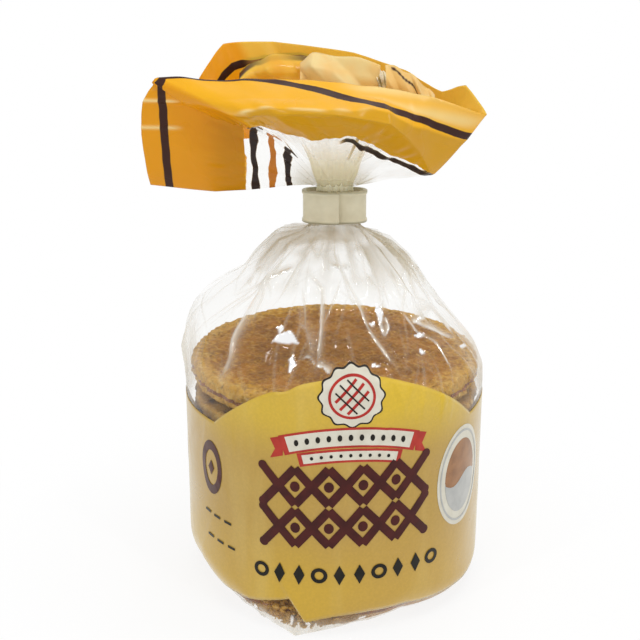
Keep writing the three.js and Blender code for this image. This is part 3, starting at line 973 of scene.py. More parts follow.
def small_print(inks):
    """A row of rings and diamonds under the lattice, and a ring over dashes at the left."""
    for step in range(10):
        x = at_degrees(-27) + step * 5.35
        middle = (x, 18.6 + 0.03 * x)
        if step % 3:
            inks["black"].disc(middle, (1.5, 2.9), steps=4)
        else:
            inks["black"].ring(middle, (2.2, 2.2), (1.2, 1.2), steps=24)
    left = at_degrees(-51.5)
    inks["brown"].ring((left, 42.4), (4.6, 7.9), (2.9, 5.2), steps=40)
    inks["brown"].disc((left, 42.4), (1.3, 2.2), steps=4)
    for row, height in enumerate((28.6, 21.4)):
        for step in range(3):
            x, z = left - 3.6 + step * 4.4 + row * 1.2, height - 0.25 * step
            inks["black"].band([(x, z), (x + 2.6, z - 0.15)], 0.7)


def badge(inks):
    """An oval seal at the right: white, a thin grey ring, and an oval split in brown and grey."""
    centre, half = (at_degrees(55.5), 39.4), (7.5, 10.7)
    inks["white"].disc(centre, (10.6, 14.6), steps=64)
    inks["grey"].ring(centre, (9.6, 13.4), (9.1, 12.8), steps=64)
    wave = [(centre[0] + half[0] * s, centre[1] - 0.8 + 1.5 * math.sin(math.pi * s))
            for s in np.linspace(-0.96, 0.96, 13)]
    inks["toast"].polygon(inks["toast"].loop(centre, half, steps=33, end=math.pi) + wave)
    inks["grey"].polygon(inks["grey"].loop(centre, half, steps=33, start=math.pi) + wave[::-1])


def make_print():
    inks = {key: Ink() for key in INKS}
    emblem(inks)
    ribbon(inks)
    for height in (44.6, 32.6):
        lattice_row(inks["brown"], height)
    small_print(inks)
    badge(inks)
    for key, (lift, colour, darker) in INKS.items():
        print_ink(f"print_{key}", inks[key], lift, ink_material(f"ink_{key}", colour, darker))


# ---- the waffles ------------------------------------------------------------------------------
# Side of one waffle: share of the rim's reach, share of the height. The syrup sits at the waist.
WAFFLE_SIDE = [(0.0, 0.03), (0.5, 0.02), (0.80, 0.05), (0.95, 0.12), (1.0, 0.22), (0.99, 0.34),
               (0.94, 0.43), (0.88, 0.47), (0.88, 0.53), (0.95, 0.57), (0.99, 0.66), (1.0, 0.78),
               (0.95, 0.88), (0.80, 0.95), (0.5, 0.98), (0.0, 0.97)]
SYRUP_ROWS = (6, 9)
WAFFLE_COLUMNS = 320
TOP_WAFFLE_COLUMNS = 640
WAFFLE_SHIFT = 0.45  # each lies up to so far off the middle
WAFFLE_GROWTH = (-0.35, 0.1)  # and its radius differs by so much
OUTLINE_WAVE = 0.35  # size of its outline's slow waves
OUTLINE_NICKS = 0.6  # and of the quick ones
WAFFLE_WARP = 0.22  # how far its rim leaves the level
RIM = 2.4
WORN_RIM = 2.6  # the top waffle's lower rim is worn away, so that a dark gap shows under it
GRID_PITCH = 4.1
GRID_RELIEF = 0.42
RIB_FLANK = (0.25, 0.95)  # where a rib's flank starts and ends, from its middle line
FACE_HEIGHTS = (0.03, 0.97)  # shares of the thickness at which the two faces lie
FACE_ROWS = 10
TOP_FACE_ROWS = 104  # of the one face that shows
SIDE_CRUMBLE = 0.38
FACE_CRUMBLE = 0.05
SIDE_GOLD = 0.85  # how golden the side is
EDGE_GOLD = 0.75  # and the edge of a face
GOLD_SPECKLE = 0.35
# Painted shade: the lowest waffle lies in shadow, so it is kept darker.
LOWEST_GOLD_IN_SHADE = 0.3  # the lowest waffle has only this share of the gold
FILM_ROOM = 0.5  # the waffles keep this far inside the film
CRUMB_COUNT = 560  # at the foot
CRUMB_HEAP = (-20, 14)  # middle and spread of their heap, in degrees from the front
HEAPED_SHARE = 0.6  # the others lie anywhere round the foot
CRUMB_SIZE = (0.35, 1.75)
CRUMB_PILE = 5.6  # they lie up to about this height
CRUMB_DEPTH = 2.6  # and up to so far inside the film
TOP_CRUMB_COUNT = 90
TOP_CRUMB_SIZE = (0.2, 0.5)
TOP_CRUMB_REACH = (8, 37)  # from the axis


def baked_grid(x, y, turn):
    """The fine grid baked into a waffle's face, from 0 in a cell to 1 on a rib."""
    cos, sin = math.cos(turn), math.sin(turn)
    off_rib = [np.abs((c / GRID_PITCH + 0.5) % 1 - 0.5) * GRID_PITCH
               for c in (x * cos + y * sin, y * cos - x * sin)]
    return 1 - smoothstep(*RIB_FLANK, np.minimum(*off_rib))


def face_rings(index, radius, angle, rows, turn, height, outward):
    """Rings of one face from its middle to where the rounded rim begins: reach, height."""
    rings = []
    for share in np.linspace(0.004, 0.996, rows):
        reach = share * (radius - RIM)
        x, y = reach * np.cos(angle), reach * np.sin(angle)
        relief = (baked_grid(x, y, turn) - 0.5) * GRID_RELIEF
        relief = relief + 0.12 * np.sin(x * 0.9 + 1.3 * index) * np.sin(y * 0.8 + 0.4)
        rings.append((reach, height + outward * relief * smoothstep(1.0, 0.94, share)))
    return rings


def make_waffle(index, wafer, syrup):
    local = np.random.default_rng(100 + index)
    top_one = index == WAFFLE_COUNT - 1
    columns, top_rows = (TOP_WAFFLE_COLUMNS, TOP_FACE_ROWS) if top_one else (WAFFLE_COLUMNS, FACE_ROWS)
    angle = np.linspace(0, 2 * np.pi, columns, endpoint=False)
    middle = local.uniform(-WAFFLE_SHIFT, WAFFLE_SHIFT, 2)
    radius = WAFFLE_RADIUS + local.uniform(*WAFFLE_GROWTH)
    radius = radius + OUTLINE_WAVE * ruffle(angle, 20 + index, (2, 3, 5))
    radius = radius + OUTLINE_NICKS * ruffle(angle, 40 + index, (13, 22, 37, 55))
    turn = local.uniform(0, np.pi)
    low, high = (share * WAFFLE_THICKNESS for share in FACE_HEIGHTS)
    under = face_rings(index, radius, angle, FACE_ROWS, turn, low, -1)
    over = face_rings(index, radius, angle, top_rows, turn, high, 1)
    wear_and_painted_highlight, gap = (WORN_RIM, TOP_GAP) if top_one else (0.0, 0.0)
    side = []
    for out, up in WAFFLE_SIDE:
        inward = wear_and_painted_highlight * max(0.0, 1 - up / 0.3)
        side.append((radius - RIM + RIM * out - inward, np.full(columns, up * WAFFLE_THICKNESS)))
    reach, height = np.array(under + side + over[::-1]).swapaxes(0, 1)
    count = len(reach)
    height = height + STACK_BOTTOM + index * WAFFLE_PITCH + gap
    on_side = np.zeros((count, 1))
    on_side[len(under):len(under) + len(side)] = 1
    reach = reach + crumble(count, columns, 300 + index, SIDE_CRUMBLE) * on_side
    height = height + crumble(count, columns, 400 + index, FACE_CRUMBLE) * smoothstep(0, 8, reach)
    height = height + WAFFLE_WARP * ruffle(angle, index + 80, (2, 3)) * reach / WAFFLE_RADIUS
    flat = np.stack([reach * np.cos(angle) + middle[0], reach * np.sin(angle) + middle[1]], -1)
    turned = np.degrees(np.arctan2(flat[..., 1], flat[..., 0])) + 90
    out = np.maximum(np.linalg.norm(flat, axis=-1), 1e-6)
    held = np.minimum(1, (film_reach(turned, height) - FILM_ROOM) / out)
    points = np.concatenate([flat * held[..., None], height[..., None]], -1)
    ids = grid_ids(points)
    faces = grid_faces(ids) + cap_faces(ids.size, ids[0][::-1]) + cap_faces(ids.size + 1, ids[-1])
    vertices = np.concatenate([points.reshape(-1, 3), [points[0].mean(0), points[-1].mean(0)]])
    piece = new_object(f"waffle_{index + 1}", vertices, faces, wafer)
    paint_faces(piece, syrup, *((len(under) + row) * columns for row in SYRUP_ROWS))
    edge = smoothstep(0.74, 0.98, reach / WAFFLE_RADIUS + 0.07 * ruffle(angle, 60 + index, (3, 8, 15)))
    golden = SIDE_GOLD * on_side + EDGE_GOLD * edge * (1 - on_side)
    golden = np.clip(golden + crumble(count, columns, 500 + index, GOLD_SPECKLE), 0, 1)
    # Painted shade: the lowest waffle is darker.
    kept = LOWEST_GOLD_IN_SHADE if index == 0 else 1.0
    add_attribute(piece, "golden", np.r_[golden.ravel() * kept, 0, 0])
    finish_piece(piece, "bag")


def coarse_ball():
    """Vertices and faces that every crumb starts from."""
    ball = bmesh.new()
    bmesh.ops.create_icosphere(ball, subdivisions=1, radius=1)
    vertices = np.array([v.co[:] for v in ball.verts])
    faces = np.array([[v.index for v in face.verts] for face in ball.faces])
    ball.free()
    return vertices, faces


def make_crumbs(material):
    """Crumbs caught between the foot and the film, and loose on the stack."""
    local = np.random.default_rng(77)
    ball, ball_faces = coarse_ball()
    crumbs = []

    def add(angle, reach, height, size):
        squash = local.uniform(0.4, 1.0, 3)
        grow = size * local.uniform(0.55, 1.1, len(ball))
        crumbs.append(ring_points(reach, angle, height) + ball * grow[:, None] * squash)

    for _ in range(CRUMB_COUNT):
        heaped = local.random() < HEAPED_SHARE
        degrees = local.normal(*CRUMB_HEAP) if heaped else local.uniform(-180, 180)
        size = local.uniform(*CRUMB_SIZE)
        height = size * 1.1 + 0.15 + CRUMB_PILE * local.random() ** 1.8
        limit = film_reach(degrees, height - size) - size * 1.1 - 0.3
        add(math.radians(degrees - 90), local.uniform(limit - CRUMB_DEPTH, limit), height, size)
    top = STACK_BOTTOM + WAFFLE_COUNT * WAFFLE_PITCH + TOP_GAP + 0.1
    for _ in range(TOP_CRUMB_COUNT):
        angle, reach = local.uniform(0, 2 * math.pi), local.uniform(*TOP_CRUMB_REACH)
        add(angle, reach, top, local.uniform(*TOP_CRUMB_SIZE))
    faces = np.concatenate([ball_faces + number * len(ball) for number in range(len(crumbs))]).tolist()
    piece = new_object("crumbs", np.concatenate(crumbs), faces, material, smooth=False)
    add_attribute(piece, "golden", local.uniform(0.4, 1, len(crumbs) * len(ball)))
    finish_piece(piece, "bag")


# ---- the fanned end above the clip ------------------------------------------------------------
SLEEVE_COLUMNS = 432
SLEEVE_ROWS = 100
# Print of the fan, counted in millimetres from the brown stripe's outer edge.
BROWN_STRIPE = 2.2
BAND_END = 23.2
LINE_STARTS = (BAND_END + 1.7, BAND_END + 6.5, BAND_END + 10.7)
LINE_WIDTH = 1.75
WING_STRIPE_X = -45.9  # along the left wing the stripe's outer edge keeps to this X
# Where the print lies: fold number, margin between lip and stripe, width of stripe and golden band.
PRINT_STATIONS = [
    (0.0, 4.2, 2.2, 19.7), (2.9, 4.0, 2.2, 19.7), (3.1, -0.9, 2.2, 29.9), (3.57, -1.1, 2.2, 34.2),
    (3.9, -1.4, 2.2, 36.4), (4.22, -1.4, 2.4, 36.9), (4.5, -1.2, 3.4, 35.0), (4.79, 0.6, 4.0, 30.6),
    (4.95, 2.2, 4.3, 27.6), (5.12, 3.5, 4.7, 24.6), (5.31, 4.6, 5.0, 19.8), (5.47, 6.0, 4.2, 18.5),
    (5.66, 6.9, 3.4, 18.0), (5.87, 7.3, 3.0, 17.8), (6.13, 7.1, 2.6, 16.8), (6.47, 6.0, 2.1, 15.4),
    (6.8, 5.6, 1.95, 14.2), (7.14, 5.7, 1.95, 12.6), (7.47, 5.8, 2.0, 12.0), (8.0, 6.1, 2.2, 12.6),
    (9.0, 8.0, 2.2, 12.0), (10.0, 8.0, 2.2, 12.0), (11.0, 5.0, 2.2, 14.0), (12.0, 3.0, 2.2, 18.0),
    (12.7, 2.3, 2.2, 18.0), (13.0, 3.6, 2.2, 18.0), (13.4, 4.4, 2.2, 17.0), (14.0, 5.6, 2.2, 15.0),
    (14.4, 5.2, 2.2, 15.0), (15.0, 5.6, 2.2, 16.0), (16.0, 5.0, 2.2, 19.7), (17.0, 4.5, 2.2, 19.7),
    (18.0, 4.2, 2.2, 19.7),
]
# On the right panel the first line starts this far from the band's end, fold by fold.
RIGHT_LINE = [(5.4, 1.8), (5.8, 2.4), (6.4, 1.6), (6.9, 1.5), (7.3, 1.0), (7.9, 0.3)]
LINE_SQUEEZE = 0.75  # and is this much thinner
# Fold that runs down the left of the front panel, over the wing: X and height.
MITRE = [(-46.0, 142.6), (-43.4, 141.2), (-39.7, 139.7), (-36.1, 137.4), (-30.7, 134.3), (-25.7, 133.1),
         (-19.0, 133.1)]
MITRE_LIFT = 1.3
MITRE_FADE = 7.0
# Ridge along the front panel: fold number, distance from the lip.
RIDGE = [(3.15, 23.5), (3.93, 20.0), (4.33, 19.7), (4.79, 19.4), (5.32, 16.0), (5.69, 12.6), (6.13, 10.6),
         (7.0, 8.4), (8.0, 8.2)]
RIDGE_LIFT = 1.1
RIDGE_FLANKS = (7.0, 2.6)  # its width towards the lip and towards the throat
WING_CREASES = (138.1, 130.8)  # heights of the short cross creases at the wing's edge
WING_CREASE_LIFT = 0.4
GATHER_LIFT = 0.55  # of the folds out of the throat
DENT_LIFT = 0.35
BLOTCH_LIFT = 0.3
LIP_LIFT = 0.3
# Sheets of film folded inside the fan's mouth: upper and lower edge, from the left to the right.
TUCKS = [
    ([(-25.7, 10, 142.9), (-21.3, 10, 145.9), (-17.5, 10, 147.2), (-12.1, 10, 147.7), (-7, 10, 146.7),
      (-2.7, 10, 144)],
     [(-25.5, 6, 138), (-21.2, 6, 138), (-17.4, 6, 138), (-12.1, 6, 137.5), (-7, 6, 136.7),
      (-2.7, 6, 135.6)]),
    ([(-9.3, 6, 146.2), (-6.1, 6, 148.4), (0, 6, 148), (6.7, 6, 147), (12, 6, 145.6), (11.2, 6, 141.9)],
     [(-9.3, 2, 137), (-6.1, 2, 136.5), (0, 2, 135), (6.7, 2, 134), (10.7, 2, 133), (10.4, 2, 133)]),
    ([(13.2, 3, 146.2), (16.7, 3, 145.1), (20.4, 3, 143.3), (23.6, 2.5, 140.6), (26.4, 2, 138.2)],
     [(14, -1, 134), (17.2, -1, 133), (20.4, -1, 132), (23.6, -1, 131.5), (26.2, -1, 131)]),
    ([(10.9, 7.6, 142.8), (11.7, 7.6, 143.8), (12.8, 7.6, 143.6), (14.4, 7.6, 141.6)],
     [(11.6, 6, 139.4), (12.2, 6, 138.8), (12.8, 6, 138.6), (13.4, 6, 139.0)]),
]
GOLDEN_TUCK = 0  # printed on the side that shows
BARE_TUCK = 3  # bare white film
# Stripe on a tuck: stations across the sheet, how far below its upper edge the stripe runs there,
# its half width, and how much of it fades in the middle.
TUCK_STRIPES = {0: ([0, 0.2, 0.45, 0.7, 0.9], [0.9, 0.3, 0.9, 0.4, 0.8], 1.0, 0.85),
                2: ([0.12, 0.3, 0.5, 0.7], [0.8, 1.4, 2.6, 4.4], 0.5, 0.0)}
TUCK_SQUEEZE = np.array([0.25, 0.15, 0.0])  # below the print a tuck narrows so much towards the throat
TUCK_FOOT = 120.0  # and ends at this height
TUCK_COLUMNS = 76
TUCK_ROWS = 34
TUCK_TAIL_ROWS = 10
# The bundle of gathered film in the fan's throat: half width, half depth, height.
BUNDLE = [(5.4, 1.7, 110.0), (4.9, 1.8, 112.6), (4.7, 2.4, 114.6), (5.7, 3.8, 117.2), (6.6, 5.2, 120.6),
          (8.8, 7.8, 125.2), (11.4, 10.8, 128.0)]
BUNDLE_SKIN = 0.12
BUNDLE_COLUMNS = 300
BUNDLE_ROWS = 40
BUNDLE_FOLDS = 38
BUNDLE_FOLD_DEPTH = (0.30, 0.95)  # at its lower and its upper end
BUNDLE_DENSE = 0.92  # how opaque it is where it is tight

# Parts of the fan, each as the four limits of window(), in fold numbers.
FRONT_PANEL = (2.95, 3.3, 8.2, 8.6)
RIGHT_PANEL = (5.0, 5.3, 8.3, 8.5)
BACK_CORNER = (13.5, 13.8, 15.5, 16.5)
MITRE_SPAN = (1.2, 1.7, 3.2, 3.9)
RIDGE_SPAN = (2.9, 3.5, 7.2, 8.4)
# Where the painted highlights lie along the ridge and on the right panel's margin.
RIDGE_HIGHLIGHT_SPAN = (2.9, 3.5, 5.3, 5.8)
MARGIN_HIGHLIGHT_SPAN = (5.3, 6.0, 7.6, 8.4)
# The same for shares of the way from the throat to the lip.
GATHER_SPAN = (0.0, 0.12, 0.2, 0.62)
BLOTCH_SPAN = (0.25, 0.4, 0.62, 0.72)

sleeve_turns = np.arange(SLEEVE_COLUMNS) / SLEEVE_COLUMNS
sleeve_angles = np.pi * (1 + 2 * sleeve_turns)
sleeve_folds = sleeve_turns * len(FOLDS)  # fold number of each column
right_panel = window(sleeve_folds, *RIGHT_PANEL)


def sleeve_grid():
    """Rows of points from the throat to the lip."""
    pleat = NECK_PLEAT * pleat_wave(sleeve_angles)
    throat = ring_points(pleat, sleeve_angles, THROAT_HEIGHT, THROAT_HALF)
    crest, lip = (closed_curve(points, sleeve_turns, CRISPNESS) for points in zip(*FOLDS))
    belly = lerp(throat, crest, BELLY_AT)
    belly[:, 2] += BELLY_LIFT * (crest[:, 2] - throat[:, 2])
    shares = np.linspace(0, 1, SLEEVE_ROWS)
    return shares, np.array([open_curve([throat, belly, crest, lip], share, CRISPNESS) for share in shares])


def lip_distance(points):
    steps = np.linalg.norm(np.diff(points, axis=0), axis=-1)
    return np.concatenate([np.cumsum(steps[::-1], 0)[::-1], np.zeros((1, SLEEVE_COLUMNS))])


def past_ridge(points):
    """How far below the front panel's ridge each point lies."""
    return lip_distance(points) - np.interp(sleeve_folds, *zip(*RIDGE))


def sleeve_detail(shares, points):
    """Gathers out of the throat, the front panel's ridge, its fold over the wing, and soft dents."""
    share, along, height = shares[:, None], points[..., 0], points[..., 2]
    lift = GATHER_LIFT * gathers(sleeve_turns, 46, 8) * window(share, *GATHER_SPAN)
    below = past_ridge(points)
    ridge = np.clip(np.where(below < 0, 1 + below / RIDGE_FLANKS[0], 1 - below / RIDGE_FLANKS[1]), 0, 1)
    uneven = 0.75 + 0.35 * ruffle(sleeve_angles, 14, (17, 31, 44))
    lift = lift + RIDGE_LIFT * ridge * window(sleeve_folds, *RIDGE_SPAN) * uneven
    above = height - np.interp(along, *zip(*MITRE))
    on_wing = window(sleeve_folds, *MITRE_SPAN) * smoothstep(-18.5, -21.5, along)
    mitre = smoothstep(-0.45, 0.1, above) * np.exp(-np.maximum(above, 0) / MITRE_FADE)
    lift = lift + MITRE_LIFT * mitre * on_wing
    wing_edge = smoothstep(-38, -42, along) * smoothstep(3.0, 2.7, sleeve_folds)
    for at in WING_CREASES:
        lift = lift + WING_CREASE_LIFT * np.clip(1 - np.abs(height - at) / 0.8, 0, 1) * wing_edge
    dents = DENT_LIFT * ruffle(sleeve_angles, 15, (7, 12, 19)) * np.sin(np.pi * share * 2.3 + 0.4)
    blotch = BLOTCH_LIFT * ruffle(sleeve_angles, 18, (29, 47, 61)) * np.sin(np.pi * share * 6.1)
    lift = lift + dents * smoothstep(0.3, 0.6, share) + blotch * window(share, *BLOTCH_SPAN)
    lift = lift + LIP_LIFT * ruffle(sleeve_angles, 16, (16, 27, 41)) * smoothstep(0.8, 1.0, share)
    return points + grid_normals(points) * lift[..., None]


def print_places(points):
    """How far each point lies from the brown stripe's outer edge, towards the throat."""
    folds, *columns = zip(*PRINT_STATIONS)
    margin, stripe, band = (np.interp(sleeve_folds, folds, column) for column in columns)
    wing = smoothstep(3.08, 2.92, sleeve_folds) + smoothstep(15.0, 15.4, sleeve_folds)
    along, height = points[..., 0], points[..., 2]
    sway = 0.26 * np.sin(height * 0.42 + along * 0.9) + 0.14 * np.sin(height * 0.95 - along * 0.8)
    inward = along - WING_STRIPE_X + sway * smoothstep(-25, -22, along)
    across = lerp(lip_distance(points) - margin, inward, wing)
    beyond = across - stripe - band
    first = np.interp(sleeve_folds, *zip(*RIGHT_LINE))
    squeezed = LINE_STARTS[0] - BAND_END + (beyond - first) * LINE_SQUEEZE
    past = BAND_END + lerp(beyond, np.maximum(np.minimum(beyond, 0.3), squeezed), right_panel)
    golden = BROWN_STRIPE + (across - stripe) * (BAND_END - BROWN_STRIPE) / band
    brown = across * BROWN_STRIPE / stripe
    across = np.select([across < 0, across < stripe, beyond < 0], [across, brown, golden], past)
    return across + 0.1 * ruffle(sleeve_angles, 31, (23, 37, 51))


def painted_fold_highlights(points):
    """Painted highlights: pale lines along the ridge, a painted sheen on the right panel's margin and painted
    glints at the wing's short creases.
    """
    lip = lip_distance(points)
    uneven = np.clip(0.5 + 0.9 * ruffle(sleeve_angles, 14, (17, 31, 44)), 0, 1)
    ridge = 0.95 * np.exp(-(past_ridge(points) / 0.6) ** 2)
    ridge = ridge * window(sleeve_folds, *RIDGE_HIGHLIGHT_SPAN) * uneven
    margin = window(sleeve_folds, *MARGIN_HIGHLIGHT_SPAN) * smoothstep(6.2, 4.5, lip)
    wear_and_painted_highlight = np.maximum(ridge, margin * (0.45 + 0.25 * np.sin(lip * 1.1 + 2.2 * sleeve_folds)))
    wing_edge = smoothstep(-39, -43, points[..., 0]) * smoothstep(3.0, 2.7, sleeve_folds)
    for at in WING_CREASES:
        wear_and_painted_highlight = np.maximum(wear_and_painted_highlight, 0.9 * np.exp(-((points[..., 2] - at) / 0.45) ** 2) * wing_edge)
    return wear_and_painted_highlight


def make_sleeve(outside, inside):
    shares, points = sleeve_grid()
    across = print_places(points)
    points = sleeve_detail(shares, points)
    everywhere = np.ones((SLEEVE_ROWS, SLEEVE_COLUMNS))
    wing = smoothstep(3.1, 2.95, sleeve_folds)
    front = window(sleeve_folds, *FRONT_PANEL)
    hanging = smoothstep(-40, -25, points[..., 0]) * smoothstep(141, 130, points[..., 2])
    corner = window(sleeve_folds, *BACK_CORNER)
    middle = BROWN_STRIPE / 2
    thinner = (across - middle) * lerp(3.0, 1.0, corner) + middle
    attributes = {
        "print_mm": (across, np.where(across < BROWN_STRIPE, thinner, across)),
        "veil": everywhere * 0.45 * smoothstep(0.22, 0.0, shares)[:, None],
        "first_line": everywhere * np.maximum(wing, right_panel),
        "other_lines": everywhere * wing,
        # painted highlight along the folds
        "wear_and_painted_highlight": painted_fold_highlights(points),
        "shade": np.maximum(front * smoothstep(-0.6, 0.8, past_ridge(points)), 0.9 * wing * hanging),
        "vivid": everywhere * corner,
    }
    inner = points - grid_normals(points) * PRINT_SKIN
    finish_piece(shell_between("bag_fan", points, inner, outside, inside, attributes), "bag")


def tuck_grid(number, upper, lower):
    """A creased sheet with a clear tail that narrows down to the throat."""
    local = np.random.default_rng(60 + number)
    waves = local.uniform(0, 2 * np.pi, 3)
    across = np.linspace(0, 1, TUCK_COLUMNS)
    down = np.linspace(0, 1, TUCK_ROWS)[:, None]
    grid = lerp(traced(upper, TUCK_COLUMNS, 0.5), traced(lower, TUCK_COLUMNS, 0.5), down[..., None])
    knots = np.linspace(-0.5, 1.5, 12) + local.uniform(-0.05, 0.05, 12)
    folded = np.interp(across + 0.6 * down * math.cos(waves[0]), knots, local.uniform(-2.2, 2.2, len(knots)))
    grid[..., 1] += folded * smoothstep(-0.1, 0.3, down) - 1.6 * np.sin(np.pi * np.minimum(down * 1.6, 1))
    grid[..., 2] += 0.3 * np.sin(17 * across + waves[2]) * (1 - down)
    end = grid[-1] * TUCK_SQUEEZE + np.array([0, 0, TUCK_FOOT])
    steps = smoothstep(0, 1.15, np.linspace(0, 1, TUCK_TAIL_ROWS + 1)[1:])
    return np.concatenate([grid, [lerp(grid[-1], end, step) for step in steps]])


def tuck_stripe(grid, places, depths, half_wide, faded):
    across = np.linspace(0, 1, TUCK_COLUMNS)
    off = (grid[0, :, 2] - grid[..., 2]) - np.interp(across, places, depths)
    shown = (across >= places[0]) * (across <= places[-1]) * smoothstep(0.8, 0.4, np.abs(off) / half_wide)
    return shown * (1 - faded * np.sin(np.pi * across / places[-1]) ** 2)


def make_tucks(material, plain):
    """Creased sheets of film that show inside the fan's mouth."""
    for number, (upper, lower) in enumerate(TUCKS):
        grid = tuck_grid(number, upper, lower)
        sheet = plain if number == BARE_TUCK else material
        piece = sheet_solid(f"fan_tuck_{number + 1}", grid, PRINT_SKIN, sheet)
        nowhere = np.zeros(grid.shape[:2])
        attributes = {
            "stripe": tuck_stripe(grid, *TUCK_STRIPES[number]) if number in TUCK_STRIPES else nowhere,
            "vivid": nowhere + (number == GOLDEN_TUCK),
            "clear": nowhere + (np.arange(len(grid)) >= TUCK_ROWS)[:, None],
        }
        for name, values in attributes.items():
            add_attribute(piece, name, np.array((values, values)))
        finish_piece(piece, "bag")


def make_gathered_neck(material):
    """The tight bundle of gathered film that rises out of the clip and opens into the fan."""
    turns = np.arange(BUNDLE_COLUMNS) / BUNDLE_COLUMNS
    folds = gathers(turns, BUNDLE_FOLDS, 21)
    shares = np.linspace(0, 1, BUNDLE_ROWS)
    outer = []
    for share, (*half, height) in zip(shares, traced(BUNDLE, BUNDLE_ROWS)):
        swell = folds * lerp(*BUNDLE_FOLD_DEPTH, share)
        outer.append(ring_points(swell, 2 * np.pi * turns, height + 0.4 * folds * share, half))
    outer = np.array(outer)
    dense = BUNDLE_DENSE * smoothstep(0.95, 0.3, shares)[:, None] * np.ones(BUNDLE_COLUMNS)
    inner = outer - grid_normals(outer) * BUNDLE_SKIN
    piece = shell_between("gathered_neck", outer, inner, material, None, {"dense": dense})
    finish_piece(piece, "bag")


# ---- the clip ---------------------------------------------------------------------------------
CLIP_BEAD = 0.28  # how far the beads along both edges stand out
CLIP_BEAD_STEPS = (1.12, 1.0, 0.75)  # where a bead starts, is half out and is full, from the edge
CLIP_ROUND = 0.18
CLIP_LAP = 0.45  # the left end stands this far out and the right one this far in
CLIP_LAP_TURN = 0.09  # radians by which the left end passes the middle
CLIP_LAP_EASE = (0.6, 0.1)  # radians from the seam where an end starts to lean, and where it leans fully
CLIP_STATIONS = 160


def clip_section():
    """Section of the band: distance outward from its middle, height."""
    half, top = CLIP_WALL / 2, CLIP_HEIGHT
    bead, soft = half + CLIP_BEAD, CLIP_ROUND
    upper = [(out, top - up) for out, up in zip((half, half + CLIP_BEAD / 2, bead), CLIP_BEAD_STEPS)]
    upper += [(bead, top - soft), (bead - soft, top)]
    lower = [(out, top - up) for out, up in reversed(upper)]
    back = [(-half + soft, top), (-half, top - soft), (-half, soft), (-half + soft, 0)]
    return lower + [(half, top / 2)] + upper + back


def make_clip(material):
    """A moulded band with a bead along both edges; the left end laps before the right."""
    gap = (CLIP_SEAM / 2 / CLIP_HALF[0]) ** (CLIP_SQUARENESS / 2)
    angles = np.linspace(-math.pi / 2 + gap, 1.5 * math.pi + CLIP_LAP_TURN, CLIP_STATIONS)
    cos, sin = (np.sign(wave) * np.abs(wave) ** (2 / CLIP_SQUARENESS)
                for wave in (np.cos(angles), np.sin(angles)))
    left_end, right_end = (smoothstep(*(front - way * ease for ease in CLIP_LAP_EASE), angles)
                           for front, way in ((1.5 * math.pi, 1), (-math.pi / 2, -1)))
    lap = CLIP_LAP * (left_end - right_end)
    rings = [np.stack([cos * (CLIP_HALF[0] + out), sin * (CLIP_HALF[1] + out) - lap,
                       np.full(CLIP_STATIONS, CLIP_BOTTOM + up)], -1) for out, up in clip_section()]
    rings = np.stack(rings, 1)
    ids = grid_ids(rings)
    faces = grid_faces(ids, flip=True) + [ids[0].tolist(), ids[-1][::-1].tolist()]
    piece = new_object("clip_band", rings.reshape(-1, 3), faces, material)
    mesh = bmesh.new()
    mesh.from_mesh(piece.data)
    bmesh.ops.recalc_face_normals(mesh, faces=mesh.faces[:])
    mesh.to_mesh(piece.data)
    mesh.free()
    finish_piece(piece, "clip")


# ---- camera, light and floor ------------------------------------------------------------------
CAMERA_DISTANCE = 340.0
CAMERA_HEIGHT = 197.7
CAMERA_PITCH = 0.3455  # radians below the horizon
FOCAL_PIXELS = 1288.0
AXIS_PIXEL = 335.0  # column on which the pack's axis lies
FRAME_PIXELS = 640.0
LIGHT_TARGET = Vector((0, 0, 0.075))
FLOOR_REACH = 3000
FLOOR_DROP = 0.05
GLOW_AT = (0.045, 0.13)  # metres from the axis between which the paper brightens
GLOW_SHARE = (0.85, 1.0)
# Lights: place and size in metres, radiance, and whether gloss mirrors them.
LIGHTS = {
    "overhead": ((0.05, -0.05, 0.75), (0.50, 0.40), 2.7, False),
    "strip_left": ((-0.48, -0.50, 0.55), (0.035, 0.45), 17.0, True),
    "strip_right": ((0.42, -0.52, 0.50), (0.03, 0.40), 18.0, True),
    "lamp_left": ((-0.12, -0.30, 0.80), (0.05, 0.05), 34.0, True),
    "lamp_right": ((0.20, -0.20, 0.78), (0.05, 0.05), 34.0, True),
    "lamp_side": ((0.62, -0.02, 0.62), (0.06, 0.06), 34.0, True),
    "back": ((0.1, 0.6, 0.5), (0.4, 0.3), 2.0, False),
}


def make_camera():
    data = bpy.data.cameras.new("camera")
    data.sensor_width = 36
    data.lens = FOCAL_PIXELS / FRAME_PIXELS * data.sensor_width
    camera = bpy.data.objects.new("camera", data)
    camera.location = (0, -CAMERA_DISTANCE * MM, CAMERA_HEIGHT * MM)
    turn = math.atan((AXIS_PIXEL - FRAME_PIXELS / 2) / FOCAL_PIXELS)
    camera.rotation_euler = (math.pi / 2 - CAMERA_PITCH, 0, turn)
    bpy.context.scene.collection.objects.link(camera)
    bpy.context.scene.camera = camera


def make_light(name, place, size, radiance, mirrored):
    data = bpy.data.lights.new(name, "AREA")
    data.shape = "RECTANGLE"
    data.size, data.size_y = size
    data.energy = radiance * math.pi * size[0] * size[1]
    light = bpy.data.objects.new(name, data)
    light.location = place
    light.rotation_euler = (LIGHT_TARGET - Vector(place)).to_track_quat("-Z", "Y").to_euler()
    light.visible_glossy = mirrored
    bpy.context.scene.collection.objects.link(light)


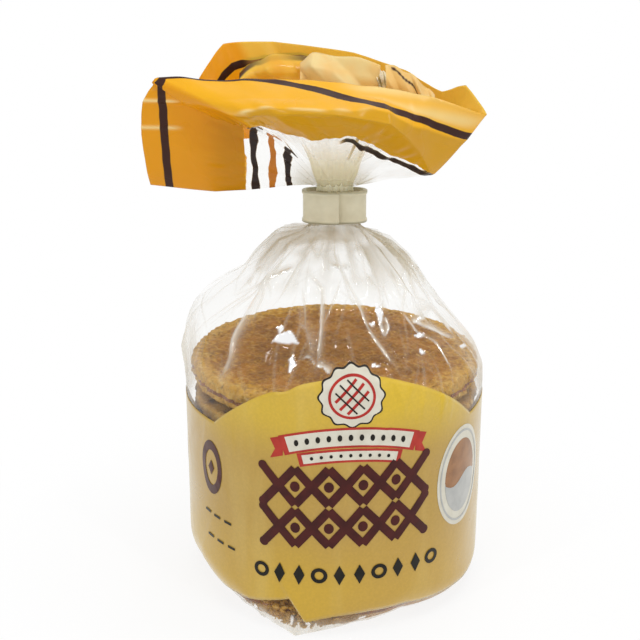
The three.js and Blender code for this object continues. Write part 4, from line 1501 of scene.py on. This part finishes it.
def make_world(seen, mirrored, diffuse):
    """A pale studio: how bright it looks, how bright gloss mirrors it, and how much it lights."""
    world = bpy.data.worlds.new("studio")
    shader = Shader("studio", world)
    path = shader.node("LightPath").outputs
    lit, glossy, plain = (shader.node("Background", {"Color": WHITE, "Strength": strength}).outputs[0]
                          for strength in (diffuse, mirrored, seen))
    unseen = shader.mix(path["Is Glossy Ray"], lit, glossy)
    shader.output(shader.mix(path["Is Camera Ray"], unseen, plain), "World")
    bpy.context.scene.world = world


def make_floor():
    """White paper that brightens into the backdrop away from the pack."""
    shader = Shader("floor_paper")
    colour = shader.blend(shader.cloud(6, 3.0, 0.3, 0.7), linear(251, 251, 250), linear(249, 249, 248))
    glow = shader.node("Emission", {"Color": WHITE, "Strength": 1.0}).outputs[0]
    away = shader.node("VectorMath", {0: shader.place()}, operation="LENGTH").outputs["Value"]
    share = shader.range(away, *GLOW_AT, *GLOW_SHARE)
    material = shader.output(shader.mix(share, shader.principled(colour, 0.9), glow))
    ways = ((-1, -1), (1, -1), (1, 1), (-1, 1))
    corners = [(x * FLOOR_REACH, y * FLOOR_REACH, -FLOOR_DROP) for x, y in ways]
    floor = new_object("floor", corners, [(0, 1, 2, 3)], material)


make_camera()
make_world(seen=1.0, mirrored=0.9, diffuse=0.46)
for name, light in LIGHTS.items():
    make_light(name, *light)
make_floor()

film_radius, film_height = meridian_rows()
film_radius = film_radius + 0.12 * ruffle(film_angles, 3, (5, 9, 14)) * smoothstep(6, 16, film_height)
reach_table = reach_levels(film_radius, film_height)
wrinkle_lift, film_veil = wrinkles(film_radius, film_height)
smooth_film = ring_points(film_radius, film_angles, film_height)
crease_lift, film_veil, film_glint = crease_film(smooth_film, film_veil)
film_veil = np.maximum(film_veil, film_haze(film_height))
film_radius = film_radius + crease_lift + wrinkle_lift * smoothstep(1.0, 9.0, film_height)
reach_table = reach_levels(film_radius, film_height)

make_film(film_material())
lining = lining_material()
make_label(label_material(), lining)
make_print()
wafer = wafer_material("baked_wafer", linear(188, 125, 44), linear(220, 170, 70), linear(128, 80, 34))
syrup = syrup_material()
for number in range(WAFFLE_COUNT):
    make_waffle(number, wafer, syrup)
make_crumbs(wafer)
make_sleeve(sleeve_material("fan_print", inside=False), sleeve_material("fan_inside", inside=True))
make_tucks(tuck_material(), lining)
make_gathered_neck(gathered_material())
make_clip(clip_material())

scene = bpy.context.scene
scene.view_settings.view_transform = "Standard"
scene.cycles.transparent_max_bounces = 32
